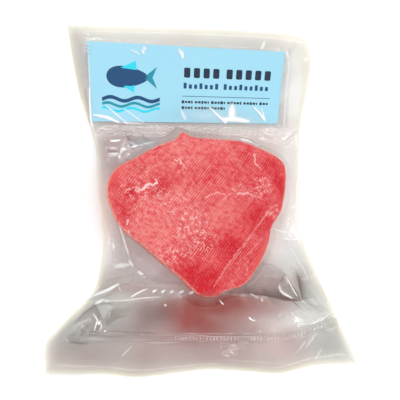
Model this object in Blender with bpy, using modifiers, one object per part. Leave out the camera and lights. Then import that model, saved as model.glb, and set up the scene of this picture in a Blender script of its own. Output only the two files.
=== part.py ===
"""Raw tuna steak sealed in a clear vacuum pouch with a printed card above it.

The pack lies on its back web: X across, +Y to the card's end, +Z up, origin on
the underside below the middle of the outline. Lengths are metres.
"""

import math

import bmesh
import bpy
import numpy as np

MM = 0.001

# Driving sizes
STEAK_THICKNESS = 21.0 * MM
STEAK_FLOOR = 1.1 * MM  # underside of the steak, on the back web
STEAK_CENTRE = np.array((-8.0, -11.0)) * MM
RIM_POWER = 7.0  # higher is squarer where the sawn faces turn into the side
WEB_THICKNESS = 1.2 * MM  # both webs of film where they lie on each other
FIT_GAP = 0.4 * MM
CARD_SIZE = (134.0 * MM, 55.0 * MM, 0.5 * MM)
CARD_CENTRE = np.array((-12.3, 78.8)) * MM
CARD_TURN = math.radians(-0.8)

# Outline of the steak, clockwise from the small nub at its top
STEAK_OUTLINE = np.array((
    (-17.5, 40.5), (-10.0, 37.6), (6.0, 36.8), (24.0, 35.4), (40.0, 28.2), (49.6, 22.2),
    (52.0, 13.0), (50.6, 0.0), (47.8, -11.0), (42.0, -20.6), (39.8, -31.5), (34.6, -43.0),
    (23.0, -57.4), (9.0, -63.4), (5.6, -67.0), (-5.5, -66.0), (-14.0, -58.2), (-36.0, -39.2),
    (-56.4, -22.8), (-64.8, -6.0), (-65.6, 5.6), (-59.5, 14.6), (-39.0, 28.6), (-21.5, 35.6),
)) * MM

# The pouch is an open-ended rectangle that the steak draws in at its waist
LEFT_EDGE = np.array((
    (-101.0, -113.0), (-101.8, -96.0), (-87.0, -79.0), (-73.2, -64.0), (-68.4, -46.0),
    (-67.2, -30.0), (-69.2, -12.0), (-72.2, 10.0), (-73.6, 32.0), (-79.6, 52.0),
    (-86.4, 74.0), (-94.3, 116.0),
)) * MM
RIGHT_EDGE = np.array((
    (102.0, -111.0), (94.4, -90.0), (86.0, -69.6), (77.4, -52.3), (68.6, -35.0),
    (62.4, -18.0), (62.6, 2.0), (64.8, 24.0), (68.4, 54.0), (74.6, 84.0), (76.2, 103.0),
    (72.0, 114.5),
)) * MM
OPEN_END = np.array((
    (-101.0, -113.0), (-66.0, -115.6), (-43.5, -118.0), (-17.0, -115.2), (2.0, -113.2),
    (30.0, -115.4), (51.0, -117.0), (76.0, -111.6), (102.0, -110.4),
)) * MM
CARD_END = np.array((
    (-94.3, 115.6), (-54.0, 116.2), (18.0, 118.0), (60.0, 117.2), (72.0, 114.0),
)) * MM

# Pocket that the front web is formed into: a rounded square, narrower at the open end
POCKET_CENTRE = np.array((-9.5, -9.5)) * MM
POCKET_HALF = np.array((48.5, 50.0)) * MM
POCKET_CORNER = 15.0 * MM
POCKET_TAPER = 1.1  # share of width gained per metre towards the card
HUG_WIDTH = 5.5 * MM  # how far out the film lands where the steak fills the pocket
LIP_HEIGHT = 17.5 * MM  # where the film leaves the side of the steak
SLOPE_POWER = 1.5

# Slack that the vacuum leaves standing at the pocket's lower corners
PLEAT_ROOT = np.array((22.0, -50.5)) * MM
PLEAT_TIP = np.array((66.7, -69.0)) * MM
PLEAT_HALF_WIDTH = 15.0 * MM
PLEAT_HEIGHT = 10.0 * MM
FOLD_START = np.array((-88.0, -69.0)) * MM
FOLD_END = np.array((-48.0, -56.0)) * MM
FOLD_HALF_WIDTH = 9.0 * MM
FOLD_HEIGHT = 3.5 * MM

# How far the film stands off the table away from the steak
WAIST_LIFT = 6.0 * MM
WAIST_Y = -2.0 * MM
WAIST_HALF_LENGTH = 46.0 * MM
LIFT_INSET = 1.0 * MM  # how far in under the steak the lift begins
LIFT_RUN = 6.5 * MM
CARD_END_CURL = 5.0 * MM
CARD_END_FLAT_Y = 48.0 * MM
OPEN_END_WAVE = 3.2 * MM
OPEN_END_WAVE_LENGTH = 92.0 * MM
OPEN_END_FLAT_Y = -72.0 * MM
CORNER_CURL = 4.5 * MM
CORNER_REACH = 42.0 * MM

# Mesh density
EDGE_STEPS = {"open": 26, "right": 25, "card": 16, "left": 25}
PROFILE_STEP = 10  # degrees of turn up the side of the steak
SLOPE_SHARES = (0.2, 0.42, 0.68, 1.0)
FLANGE_SHARES = (0.12, 0.28, 0.46, 0.64, 0.82, 1.0)
UNDERSIDE_SHARES = (1.0, 0.7, 0.35)
BACK_SLOPE_SHARES = (1.0, 0.5, 0.0)
FOOT_SHARE = 0.9  # size of the flat foot under the steak, as a share of the lip
CARD_GRID = (16, 6)
BEARING_BLEND = 0.55  # how closely the rays of the pouch follow true bearings from the steak
LANDING_LIMIT = 0.94  # share of the way to the edge by which the film has landed
LANDING_TRIALS = 95
CREASE_ANGLE = math.radians(40.0)
TINY = 1e-12  # keeps a division by nothing out of level edges and finished tapers


def clear_scene():
    for obj in list(bpy.data.objects):
        bpy.data.objects.remove(obj)


def collection(name):
    made = bpy.data.collections.new(name)
    bpy.context.scene.collection.children.link(made)
    return made


def material(name, colour, roughness, alpha=1.0):
    made = bpy.data.materials.new(name)
    made.use_nodes = True
    shader = made.node_tree.nodes["Principled BSDF"]
    shader.inputs["Base Color"].default_value = (*colour, 1.0)
    shader.inputs["Roughness"].default_value = roughness
    shader.inputs["Metallic"].default_value = 0.0
    shader.inputs["Alpha"].default_value = alpha
    return made


def smoothstep(share):
    share = np.clip(share, 0.0, 1.0)
    return share * share * (3.0 - 2.0 * share)


def smooth_curve(points, per_span=10, closed=False):
    """Points along a Catmull-Rom curve through the given ones."""
    if closed:
        padded = np.vstack((points[-1:], points, points[:2]))
    else:
        before = 2 * points[:1] - points[1:2]
        after = 2 * points[-1:] - points[-2:-1]
        padded = np.vstack((before, points, after))
    share = np.linspace(0.0, 1.0, per_span, endpoint=False)[:, None]
    spans = []
    for i in range(len(padded) - 3):
        a, b, c, d = padded[i:i + 4]
        spans.append(0.5 * (
            2 * b + (c - a) * share + (2 * a - 5 * b + 4 * c - d) * share**2
            + (3 * b - a - 3 * c + d) * share**3
        ))
    if not closed:
        spans.append(points[-1:])
    return np.vstack(spans)


def evenly_spaced(curve, steps):
    """The given number of points at equal steps along a curve, without its last point."""
    lengths = np.hypot(*np.diff(curve, axis=0).T)
    run = np.concatenate(((0.0,), np.cumsum(lengths)))
    wanted = np.linspace(0.0, run[-1], steps, endpoint=False)
    return np.stack((np.interp(wanted, run, curve[:, 0]), np.interp(wanted, run, curve[:, 1])), axis=1)


def pouch_outline():
    """Points round the edge of the pouch, anticlockwise from its lower left corner."""
    sides = (
        evenly_spaced(smooth_curve(OPEN_END), EDGE_STEPS["open"]),
        evenly_spaced(smooth_curve(RIGHT_EDGE), EDGE_STEPS["right"]),
        evenly_spaced(smooth_curve(CARD_END)[::-1], EDGE_STEPS["card"]),
        evenly_spaced(smooth_curve(LEFT_EDGE)[::-1], EDGE_STEPS["left"]),
    )
    return np.vstack(sides)


def steak_reach(bearing):
    """Distance from the steak's centre to its outline along the given bearings."""
    outline = smooth_curve(STEAK_OUTLINE, closed=True) - STEAK_CENTRE
    angle = np.arctan2(outline[:, 1], outline[:, 0])
    return np.interp(bearing, angle, np.hypot(outline[:, 0], outline[:, 1]), period=2.0 * math.pi)


def ray_bearings(outer):
    """Bearings at which the rays from the pouch's edge meet the steak, evened out a little."""
    away = outer - STEAK_CENTRE
    true = np.unwrap(np.arctan2(away[:, 1], away[:, 0]))
    even = 2.0 * math.pi * np.arange(len(outer)) / len(outer)
    even += (true - even).mean()
    return BEARING_BLEND * true + (1.0 - BEARING_BLEND) * even


def distance_outside(x, y, outline):
    """Signed distance in plan from a closed outline, negative inside it."""
    run = np.roll(outline, -1, axis=0) - outline
    px = x[:, None] - outline[:, 0]
    py = y[:, None] - outline[:, 1]
    along = np.clip((px * run[:, 0] + py * run[:, 1]) / (run**2).sum(1), 0.0, 1.0)
    nearest = np.hypot(px - along * run[:, 0], py - along * run[:, 1]).min(1)
    spans_y = (py < 0.0) != (py < run[:, 1])
    crossing = py * run[:, 0] / (run[:, 1] + TINY)
    inside = (spans_y & (px < crossing)).sum(1) % 2 == 1
    return np.where(inside, -nearest, nearest)


def distance_outside_pocket(x, y):
    """Signed distance from the tapered rounded square of the pocket."""
    from_middle = y - POCKET_CENTRE[1]
    across = np.abs(x - POCKET_CENTRE[0]) / (1.0 + POCKET_TAPER * from_middle)
    beyond_x = across - POCKET_HALF[0] + POCKET_CORNER
    beyond_y = np.abs(from_middle) - POCKET_HALF[1] + POCKET_CORNER
    outside = np.hypot(np.maximum(beyond_x, 0.0), np.maximum(beyond_y, 0.0))
    return outside + np.minimum(np.maximum(beyond_x, beyond_y), 0.0) - POCKET_CORNER


def along_segment(x, y, start, end):
    """Share of the way from start to end, and the signed distance to the left of it."""
    run = end - start
    length = math.hypot(*run)
    px, py = x - start[0], y - start[1]
    share = (px * run[0] + py * run[1]) / length**2
    aside = (run[0] * py - run[1] * px) / length
    return share, aside


def film_underside(x, y):
    """Height of the back web: on the table, drawn up along the sides of the steak."""
    outside = distance_outside(x, y, smooth_curve(STEAK_OUTLINE, closed=True))
    waist = np.exp(-(((y - WAIST_Y) / WAIST_HALF_LENGTH) ** 4))
    height = WAIST_LIFT * waist * smoothstep((outside + LIFT_INSET) / LIFT_RUN)
    card_share = (y - CARD_END_FLAT_Y) / (CARD_END[2, 1] - CARD_END_FLAT_Y)
    height += CARD_END_CURL * np.clip(card_share, 0.0, 1.0) ** 2
    open_share = smoothstep((OPEN_END_FLAT_Y - y) / (OPEN_END_FLAT_Y - OPEN_END[2, 1]))
    wave = 0.5 + 0.5 * np.cos(2.0 * math.pi * x / OPEN_END_WAVE_LENGTH)
    height += OPEN_END_WAVE * open_share * wave
    for corner in (OPEN_END[0], OPEN_END[-1]):
        reach = np.hypot(x - corner[0], y - corner[1])
        height += CORNER_CURL * np.clip(1.0 - reach / CORNER_REACH, 0.0, 1.0) ** 2
    return height


def bump(share):
    """A smooth hump: 1 at 0, falling to 0 at -1 and at 1."""
    return np.clip(1.0 - share**2, 0.0, 1.0) ** 2


def slack(x, y):
    """Height of the pleat and the fold that stand up from the flat film."""
    share, aside = along_segment(x, y, PLEAT_ROOT, PLEAT_TIP)
    taper = np.sqrt(np.clip(1.0 - share, 0.0, 1.0))
    pleat = PLEAT_HEIGHT * taper * bump(aside / (PLEAT_HALF_WIDTH * taper + TINY)) * (share > 0.0)
    share, aside = along_segment(x, y, FOLD_START, FOLD_END)
    fold = FOLD_HEIGHT * bump(2.0 * share - 1.0) * bump(aside / FOLD_HALF_WIDTH)
    return np.maximum(pleat, fold)


def landing_points(inner, outer):
    """Where the sloping film from the steak meets the flat film, on each ray to the edge."""
    shares = np.linspace(0.0, LANDING_LIMIT, LANDING_TRIALS)
    x = inner[:, :1] + (outer - inner)[:, :1] * shares
    y = inner[:, 1:] + (outer - inner)[:, 1:] * shares
    outline = smooth_curve(STEAK_OUTLINE, closed=True)
    outside = distance_outside(x.ravel(), y.ravel(), outline).reshape(x.shape)
    to_edge = np.minimum(outside - HUG_WIDTH, distance_outside_pocket(x, y))
    landed = to_edge >= 0.0
    first = np.where(landed.any(axis=1), landed.argmax(axis=1), len(shares) - 1)
    return inner + (outer - inner) * shares[first][:, None]


def with_height(plan, height):
    return np.column_stack((plan, np.broadcast_to(height, len(plan))))


def steak_ring(bearing, turn, grow):
    """Ring round the steak, its sides grown by the given amount, at a turn up its profile."""
    power = 2.0 / RIM_POWER
    reach = (steak_reach(bearing) + grow) * math.cos(turn) ** power
    plan = STEAK_CENTRE + reach[:, None] * np.column_stack((np.cos(bearing), np.sin(bearing)))
    rise = math.copysign(abs(math.sin(turn)) ** power, turn) * (STEAK_THICKNESS / 2 + grow)
    return with_height(plan, STEAK_FLOOR + STEAK_THICKNESS / 2 + rise)


def pouch_rings():
    """Rings of the pouch from its recess floor, over the lip and the edge, to its underside."""
    outer = pouch_outline()
    bearing = ray_bearings(outer)
    turns = range(-90 + PROFILE_STEP, 1, PROFILE_STEP)
    rings = [steak_ring(bearing, math.radians(turn), FIT_GAP) for turn in turns]
    lip = rings[-1][:, :2]
    rings.append(with_height(lip, LIP_HEIGHT))
    landing = landing_points(lip, outer)
    for share in SLOPE_SHARES:
        plan = lip + (landing - lip) * share
        flat = film_underside(*plan.T) + WEB_THICKNESS
        slope = (LIP_HEIGHT - flat) * (1.0 - share) ** SLOPE_POWER
        rings.append(with_height(plan, flat + np.maximum(slope, slack(*plan.T))))
    for share in FLANGE_SHARES:
        plan = landing + (outer - landing) * share
        rings.append(with_height(plan, film_underside(*plan.T) + WEB_THICKNESS + slack(*plan.T)))
    for share in UNDERSIDE_SHARES:
        plan = landing + (outer - landing) * share
        rings.append(with_height(plan, film_underside(*plan.T)))
    for share in BACK_SLOPE_SHARES:
        plan = lip + (landing - lip) * share
        rings.append(with_height(plan, film_underside(*plan.T)))
    rings.append(with_height(STEAK_CENTRE + (lip - STEAK_CENTRE) * FOOT_SHARE, 0.0))
    return rings


def lofted(name, rings, first_pole, last_pole, target):
    """A closed body on a sphere's faces, with its rings laid on the given ones in turn."""
    segments = len(rings[0])
    shape = bmesh.new()
    bmesh.ops.create_uvsphere(shape, u_segments=segments, v_segments=len(rings) + 1, radius=1.0)
    levels = len(rings) + 1
    for vert in shape.verts:
        level = round(math.acos(max(-1.0, min(1.0, vert.co.z))) / math.pi * levels)
        turn = round(math.atan2(vert.co.y, vert.co.x) / (2.0 * math.pi) * segments) % segments
        if level == 0:
            vert.co = first_pole
        elif level == levels:
            vert.co = last_pole
        else:
            vert.co = rings[level - 1][turn]
    return finish_mesh(name, shape, target)


def finish_mesh(name, shape, target):
    mesh = bpy.data.meshes.new(name)
    shape.to_mesh(mesh)
    shape.free()
    obj = bpy.data.objects.new(name, mesh)
    target.objects.link(obj)
    return obj


def make_steak(parts):
    bearing = ray_bearings(pouch_outline())
    turns = range(90 - PROFILE_STEP, -90, -PROFILE_STEP)
    rings = [steak_ring(bearing, math.radians(turn), 0.0) for turn in turns]
    top = (*STEAK_CENTRE, STEAK_FLOOR + STEAK_THICKNESS)
    steak = lofted("tuna_steak", rings, top, (*STEAK_CENTRE, STEAK_FLOOR), parts)
    steak.data.materials.append(material("tuna flesh", (0.74, 0.09, 0.10), 0.42))
    steak.data.shade_smooth()


def make_pouch(parts):
    recess_floor = (*STEAK_CENTRE, STEAK_FLOOR - FIT_GAP)
    pouch = lofted("pouch_film", pouch_rings(), recess_floor, (*STEAK_CENTRE, 0.0), parts)
    pouch.data.materials.append(material("clear film", (0.82, 0.81, 0.79), 0.12, alpha=0.35))
    pouch.data.shade_smooth()
    pouch.data.set_sharp_from_angle(angle=CREASE_ANGLE)


def make_card(parts):
    """The printed card, a thin plate laid along the curl of the film under it."""
    bpy.ops.mesh.primitive_grid_add(x_subdivisions=CARD_GRID[0], y_subdivisions=CARD_GRID[1], size=1.0)
    card = bpy.context.object
    card.name = "label_card"
    card.data.name = card.name
    cosine, sine = math.cos(CARD_TURN), math.sin(CARD_TURN)
    for vert in card.data.vertices:
        across, along = vert.co.x * CARD_SIZE[0], vert.co.y * CARD_SIZE[1]
        x = CARD_CENTRE[0] + cosine * across - sine * along
        y = CARD_CENTRE[1] + sine * across + cosine * along
        under = film_underside(np.array((x,)), np.array((y,)))[0]
        vert.co = (x, y, under + WEB_THICKNESS + FIT_GAP)
    thickness = card.modifiers.new("Thickness", "SOLIDIFY")
    thickness.thickness = CARD_SIZE[2]
    thickness.offset = 1.0
    card.data.materials.append(material("printed card", (0.40, 0.75, 0.92), 0.35))
    for other in card.users_collection:
        other.objects.unlink(card)
    parts.objects.link(card)


def main():
    clear_scene()
    parts = collection("packed tuna steak")
    make_steak(parts)
    make_pouch(parts)
    make_card(parts)


main()
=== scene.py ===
# Raw tuna steak in a clear vacuum pouch with a printed card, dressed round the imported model.
# Lengths are metres; places in the settings below are millimetres, turned into metres by mm.
import math

import bpy
import numpy as np
from mathutils import Matrix, Vector


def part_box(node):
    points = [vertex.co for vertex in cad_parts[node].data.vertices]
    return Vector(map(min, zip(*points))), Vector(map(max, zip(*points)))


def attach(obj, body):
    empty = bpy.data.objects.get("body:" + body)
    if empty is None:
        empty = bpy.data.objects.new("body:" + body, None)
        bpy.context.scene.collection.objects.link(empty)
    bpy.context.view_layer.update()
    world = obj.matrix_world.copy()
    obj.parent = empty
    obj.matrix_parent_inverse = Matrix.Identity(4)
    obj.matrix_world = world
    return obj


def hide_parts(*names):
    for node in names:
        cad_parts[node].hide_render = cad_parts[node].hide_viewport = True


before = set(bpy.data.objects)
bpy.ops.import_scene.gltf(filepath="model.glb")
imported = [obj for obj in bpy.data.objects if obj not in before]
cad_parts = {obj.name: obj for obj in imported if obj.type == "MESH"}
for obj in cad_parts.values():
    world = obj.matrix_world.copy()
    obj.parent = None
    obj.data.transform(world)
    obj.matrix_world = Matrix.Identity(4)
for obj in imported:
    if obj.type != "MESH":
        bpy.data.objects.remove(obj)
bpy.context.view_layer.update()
mm = 0.001

# ---------- shared outlines ----------
# The steak's outline, clockwise from the nub at its top
steakOutline = (
    (-17.6, 41.4), (-10.0, 38.6), (6.0, 37.2), (24.4, 36.0), (40.6, 29.6), (51.0, 23.4),
    (53.2, 13.4), (51.6, 0.0), (49.3, -11.2), (43.2, -20.8), (40.7, -31.8), (35.6, -43.6),
    (24.4, -58.6), (10.0, -64.0), (5.6, -67.0), (-5.5, -66.2), (-14.2, -58.8), (-36.0, -39.6),
    (-56.4, -22.8), (-64.8, -6.0), (-65.6, 5.6), (-60.4, 15.8), (-47.2, 23.9), (-39.0, 28.9),
    (-21.8, 36.6),
)
pouch = {
    "leftEdge": (
        (-101.0, -113.0), (-101.7, -104.0), (-101.8, -97.0), (-101.0, -94.4), (-98.6, -91.6),
        (-87.0, -79.0), (-73.2, -64.0), (-68.4, -46.0),
        (-67.2, -30.0), (-69.2, -12.0), (-72.2, 10.0), (-73.6, 32.0), (-79.6, 52.0),
        (-86.4, 74.0), (-94.3, 116.0),
    ),
    "rightEdge": (
        (102.0, -111.0), (94.4, -90.0), (86.0, -69.6), (77.4, -52.3), (68.6, -35.0),
        (62.4, -18.0), (62.6, 2.0), (64.8, 24.0), (68.4, 54.0), (74.6, 84.0), (76.2, 103.0),
        (72.0, 114.5),
    ),
    "openEnd": (
        (-101.0, -113.0), (-97.6, -114.6), (-66.0, -115.6), (-43.5, -118.0), (-17.0, -115.2), (2.0, -113.2),
        (30.0, -115.4), (51.0, -117.0), (76.0, -111.6), (102.0, -110.4),
    ),
    "cardEnd": ((-94.3, 115.6), (-54.0, 116.2), (18.0, 118.0), (60.0, 117.2), (72.0, 114.0)),
    "pocketCentre": (-9.5, -9.5),
    "pocketHalf": (48.5, 50.0),
    "pocketCorner": 15.0,
    "pocketTaper": 1.1,     # share of width gained per metre towards the card
    "hugWidth": 6.5,        # how far out the film lands where the steak fills the pocket
    "waistLift": 6.0,
    "waistY": -2.0,
    "waistHalfLength": 46.0,
    "liftRun": 6.5,
    "cardEndCurl": 5.0,
    "cardEndFlatY": 48.0,
    "openEndWave": 3.2,
    "openEndWaveLength": 92.0,
    "openEndFlatY": -72.0,
    "cornerCurl": 4.5,
    "cornerReach": 42.0,
    "webGap": 0.6,          # between the webs where they lie on each other
}
steakLow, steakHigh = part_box("tuna_steak")
steakCentre = np.array((-8.0, -11.0)) * mm
steakMiddleZ = (steakLow.z + steakHigh.z) / 2
steakHalf = (steakHigh.z - steakLow.z) / 2
rimPower = 7.0


# ---------- helpers ----------
def smoothCurve(points, perSpan=12, closed=False):
    # points along a Catmull-Rom curve through the given ones, in metres
    points = np.array(points, float) * mm
    if closed:
        padded = np.vstack((points[-1:], points, points[:2]))
    else:
        padded = np.vstack((2 * points[:1] - points[1:2], points, 2 * points[-1:] - points[-2:-1]))
    t = np.linspace(0.0, 1.0, perSpan, endpoint=False)[:, None]
    spans = []
    for i in range(len(padded) - 3):
        a, b, c, d = padded[i:i + 4]
        spans.append(0.5 * (2 * b + (c - a) * t + (2 * a - 5 * b + 4 * c - d) * t**2
                            + (3 * b - a - 3 * c + d) * t**3))
    if not closed:
        spans.append(points[-1:])
    return np.vstack(spans)


def evenlySpaced(curve, steps):
    lengths = np.hypot(*np.diff(curve, axis=0).T)
    run = np.concatenate(((0.0,), np.cumsum(lengths)))
    wanted = np.linspace(0.0, run[-1], steps, endpoint=False)
    return np.stack((np.interp(wanted, run, curve[:, 0]), np.interp(wanted, run, curve[:, 1])), axis=1)


def smoothStep(t):
    t = np.clip(t, 0.0, 1.0)
    return t * t * (3.0 - 2.0 * t)


def hump(t):
    return np.clip(1.0 - t**2, 0.0, 1.0) ** 2


def alongLine(x, y, start, end):
    # share of the way along, and the distance to the left of the line
    (sx, sy), (ex, ey) = start, end
    length = math.hypot(ex - sx, ey - sy)
    dx, dy = (ex - sx) / length, (ey - sy) / length
    return ((x - sx) * dx + (y - sy) * dy) / length, dx * (y - sy) - dy * (x - sx)


def toPolyline(x, y, points, reach):
    # distance to a chain of points in millimetres, and the share of the way along it, within reach
    points = [(px * mm, py * mm) for px, py in points]
    best = np.full(x.shape, 1.0)
    share = np.zeros(x.shape)
    lowX, highX = min(p[0] for p in points) - reach, max(p[0] for p in points) + reach
    lowY, highY = min(p[1] for p in points) - reach, max(p[1] for p in points) + reach
    near = (x > lowX) & (x < highX) & (y > lowY) & (y < highY)
    if not near.any():
        return best, share
    nearX, nearY = x[near], y[near]
    nearBest, nearShare = best[near], share[near]
    for i in range(len(points) - 1):
        t, _ = alongLine(nearX, nearY, points[i], points[i + 1])
        t = np.clip(t, 0.0, 1.0)
        px = points[i][0] + t * (points[i + 1][0] - points[i][0])
        py = points[i][1] + t * (points[i + 1][1] - points[i][1])
        away = np.hypot(nearX - px, nearY - py)
        closer = away < nearBest
        nearBest = np.where(closer, away, nearBest)
        nearShare = np.where(closer, (i + t) / (len(points) - 1), nearShare)
    best[near] = nearBest
    share[near] = nearShare
    return best, share


def outsideOf(outline, x, y):
    # signed distance in plan from a closed outline, negative inside
    flatX, flatY = np.ravel(x), np.ravel(y)
    run = np.roll(outline, -1, axis=0) - outline
    lengthSquared = (run**2).sum(1)
    found = np.empty(len(flatX))
    for first in range(0, len(flatX), 4000):
        px = flatX[first:first + 4000, None] - outline[None, :, 0]
        py = flatY[first:first + 4000, None] - outline[None, :, 1]
        t = np.clip((px * run[:, 0] + py * run[:, 1]) / lengthSquared, 0.0, 1.0)
        nearest = np.hypot(px - t * run[:, 0], py - t * run[:, 1]).min(1)
        spans = (py < 0.0) != (py - run[:, 1] < 0.0)
        crossing = px - py * run[:, 0] / np.where(run[:, 1] == 0.0, 1e-15, run[:, 1])
        inside = (spans & (crossing < 0.0)).sum(1) % 2 == 1
        found[first:first + 4000] = np.where(inside, -nearest, nearest)
    return found.reshape(np.shape(x))


noiseTable = np.random.default_rng(7).uniform(-1.0, 1.0, (64, 64))


def roughness(x, y, size, seed=0.0, octaves=3):
    # smooth noise from -1 to 1, with features of about the given size in millimetres
    total, strength, scale = 0.0, 1.0, 1.0 / (size * mm)
    for octave in range(octaves):
        turn = 0.6 + 1.1 * octave
        u = (math.cos(turn) * x - math.sin(turn) * y) * scale + seed * 3.7
        v = (math.sin(turn) * x + math.cos(turn) * y) * scale + seed * 1.9
        column, row = np.floor(u).astype(int), np.floor(v).astype(int)
        s, t = smoothStep(u - column), smoothStep(v - row)
        near = noiseTable[column % 64, row % 64] * (1.0 - s) + noiseTable[(column + 1) % 64, row % 64] * s
        far = noiseTable[column % 64, (row + 1) % 64] * (1.0 - s) + noiseTable[(column + 1) % 64, (row + 1) % 64] * s
        total = total + strength * (near * (1.0 - t) + far * t)
        strength, scale = strength * 0.5, scale * 2.0
    return total


def wrapRings(name, rings, firstPole, lastPole):
    # a grid wrapped round through the given rings in turn, merged along its seam and closed at both poles
    segments, rows = len(rings[0]), len(rings) + 1
    bpy.ops.object.select_all(action="DESELECT")
    bpy.ops.mesh.primitive_grid_add(x_subdivisions=segments, y_subdivisions=rows, size=1.0, calc_uvs=False)
    obj = bpy.context.object
    obj.name = name
    obj.data.name = name
    co = readPlaces(obj)
    column = np.rint((co[:, 0] + 0.5) * segments).astype(int) % segments
    row = np.rint((co[:, 1] + 0.5) * rows).astype(int)
    poles = [np.tile(pole, (segments, 1)) for pole in (firstPole, lastPole)]
    stacked = np.stack((poles[0], *rings, poles[1]))
    obj.data.vertices.foreach_set("co", stacked[row, column].astype(np.float32).ravel())
    bpy.ops.object.mode_set(mode="EDIT")
    bpy.ops.mesh.select_all(action="SELECT")
    bpy.ops.mesh.remove_doubles(threshold=0.001 * mm)
    bpy.ops.mesh.normals_make_consistent(inside=False)
    bpy.ops.object.mode_set(mode="OBJECT")
    bpy.ops.object.shade_smooth()
    return obj


def readPlaces(obj):
    co = np.zeros(len(obj.data.vertices) * 3, np.float32)
    obj.data.vertices.foreach_get("co", co)
    return co.reshape(-1, 3).astype(float)


def setAttribute(obj, name, values):
    attribute = obj.data.attributes.new(name, "FLOAT", "POINT")
    attribute.data.foreach_set("value", np.asarray(values, np.float32))


def newMaterial(name, colour, roughnessValue):
    made = bpy.data.materials.new(name)
    made.use_nodes = True
    made.diffuse_color = (*colour, 1.0)
    shader = made.node_tree.nodes["Principled BSDF"]
    shader.inputs["Base Color"].default_value = (*colour, 1.0)
    shader.inputs["Roughness"].default_value = roughnessValue
    return made, made.node_tree.nodes, made.node_tree.links, shader


def addNode(nodes, kind, **settings):
    node = nodes.new(kind)
    for key, value in settings.items():
        setattr(node, key, value)
    return node


def attributeNode(nodes, name):
    return addNode(nodes, "ShaderNodeAttribute", attribute_name=name).outputs["Fac"]


def mixColour(nodes, links, factor, first, second, blend="MIX"):
    # first and second are colours or sockets; factor is a number or a socket
    mix = addNode(nodes, "ShaderNodeMix", data_type="RGBA", blend_type=blend)
    for socket, value in ((mix.inputs[0], factor), (mix.inputs[6], first), (mix.inputs[7], second)):
        if isinstance(value, bpy.types.NodeSocket):
            links.new(value, socket)
        elif isinstance(value, (int, float)):
            socket.default_value = value
        else:
            socket.default_value = (*value, 1.0)
    return mix.outputs[2]


def mathNode(nodes, links, operation, first, second=0.0, clamp=False):
    node = addNode(nodes, "ShaderNodeMath", operation=operation, use_clamp=clamp)
    for socket, value in ((node.inputs[0], first), (node.inputs[1], second)):
        if isinstance(value, bpy.types.NodeSocket):
            links.new(value, socket)
        else:
            socket.default_value = value
    return node.outputs[0]


def noiseNode(nodes, links, scale, detail=4.0, vector=None, rough=0.5, distortion=0.0):
    node = addNode(nodes, "ShaderNodeTexNoise")
    node.inputs["Scale"].default_value = scale
    node.inputs["Detail"].default_value = detail
    node.inputs["Roughness"].default_value = rough
    node.inputs["Distortion"].default_value = distortion
    if vector is not None:
        links.new(vector, node.inputs["Vector"])
    return node.outputs["Fac"]


def rampNode(nodes, links, value, low, high):
    # 0 below low, 1 above high
    node = addNode(nodes, "ShaderNodeMapRange", clamp=True, interpolation_type="SMOOTHSTEP")
    node.inputs["From Min"].default_value = low
    node.inputs["From Max"].default_value = high
    links.new(value, node.inputs["Value"])
    return node.outputs["Result"]


def objectPlace(nodes, links, turn=0.0, scale=(1.0, 1.0, 1.0)):
    # the piece's own coordinates, turned about Z and then stretched
    place = addNode(nodes, "ShaderNodeTexCoord")
    turned = addNode(nodes, "ShaderNodeMapping")
    turned.inputs["Rotation"].default_value = (0.0, 0.0, turn)
    links.new(place.outputs["Object"], turned.inputs["Vector"])
    stretched = addNode(nodes, "ShaderNodeMapping")
    stretched.inputs["Scale"].default_value = scale
    links.new(turned.outputs["Vector"], stretched.inputs["Vector"])
    return stretched.outputs["Vector"]


def bandNode(nodes, links, vector, pitch, distortion=0.0):
    # parallel ribs across Y, one for each pitch in millimetres
    ribs = addNode(nodes, "ShaderNodeTexWave", wave_type="BANDS", bands_direction="Y")
    ribs.inputs["Scale"].default_value = 2.0 * math.pi / (20.0 * pitch * mm)
    ribs.inputs["Distortion"].default_value = distortion
    links.new(vector, ribs.inputs["Vector"])
    return ribs.outputs["Fac"]


def bumpNode(nodes, links, height, strength, distance, under=None):
    bump = addNode(nodes, "ShaderNodeBump")
    bump.inputs["Strength"].default_value = strength
    bump.inputs["Distance"].default_value = distance * mm
    links.new(height, bump.inputs["Height"])
    if under is not None:
        links.new(under, bump.inputs["Normal"])
    return bump.outputs["Normal"]


# ---------- shape of the film and the steak ----------
steakCurve = smoothCurve(steakOutline, perSpan=6, closed=True)


def steakReach(bearing):
    away = steakCurve - steakCentre
    angle = np.arctan2(away[:, 1], away[:, 0])
    return np.interp(bearing, angle, np.hypot(away[:, 0], away[:, 1]), period=2.0 * math.pi)


def filmUnder(x, y):
    # the back web: on the table, drawn up along the sides of the steak
    outside = outsideOf(steakCurve, x, y)
    waist = np.exp(-(((y - pouch["waistY"] * mm) / (pouch["waistHalfLength"] * mm)) ** 4))
    height = pouch["waistLift"] * mm * waist * smoothStep((outside + 1.0 * mm) / (pouch["liftRun"] * mm))
    share = (y - pouch["cardEndFlatY"] * mm) / ((118.0 - pouch["cardEndFlatY"]) * mm)
    height += pouch["cardEndCurl"] * mm * np.clip(share, 0.0, 1.0) ** 2
    share = smoothStep((pouch["openEndFlatY"] * mm - y) / ((118.0 + pouch["openEndFlatY"]) * mm))
    wave = 0.5 + 0.5 * np.cos(2.0 * math.pi * x / (pouch["openEndWaveLength"] * mm))
    height += pouch["openEndWave"] * mm * share * wave
    for corner in (pouch["openEnd"][0], pouch["openEnd"][-1]):
        reach = np.hypot(x - corner[0] * mm, y - corner[1] * mm)
        height += pouch["cornerCurl"] * mm * np.clip(1.0 - reach / (pouch["cornerReach"] * mm), 0.0, 1.0) ** 2
    return height


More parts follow.
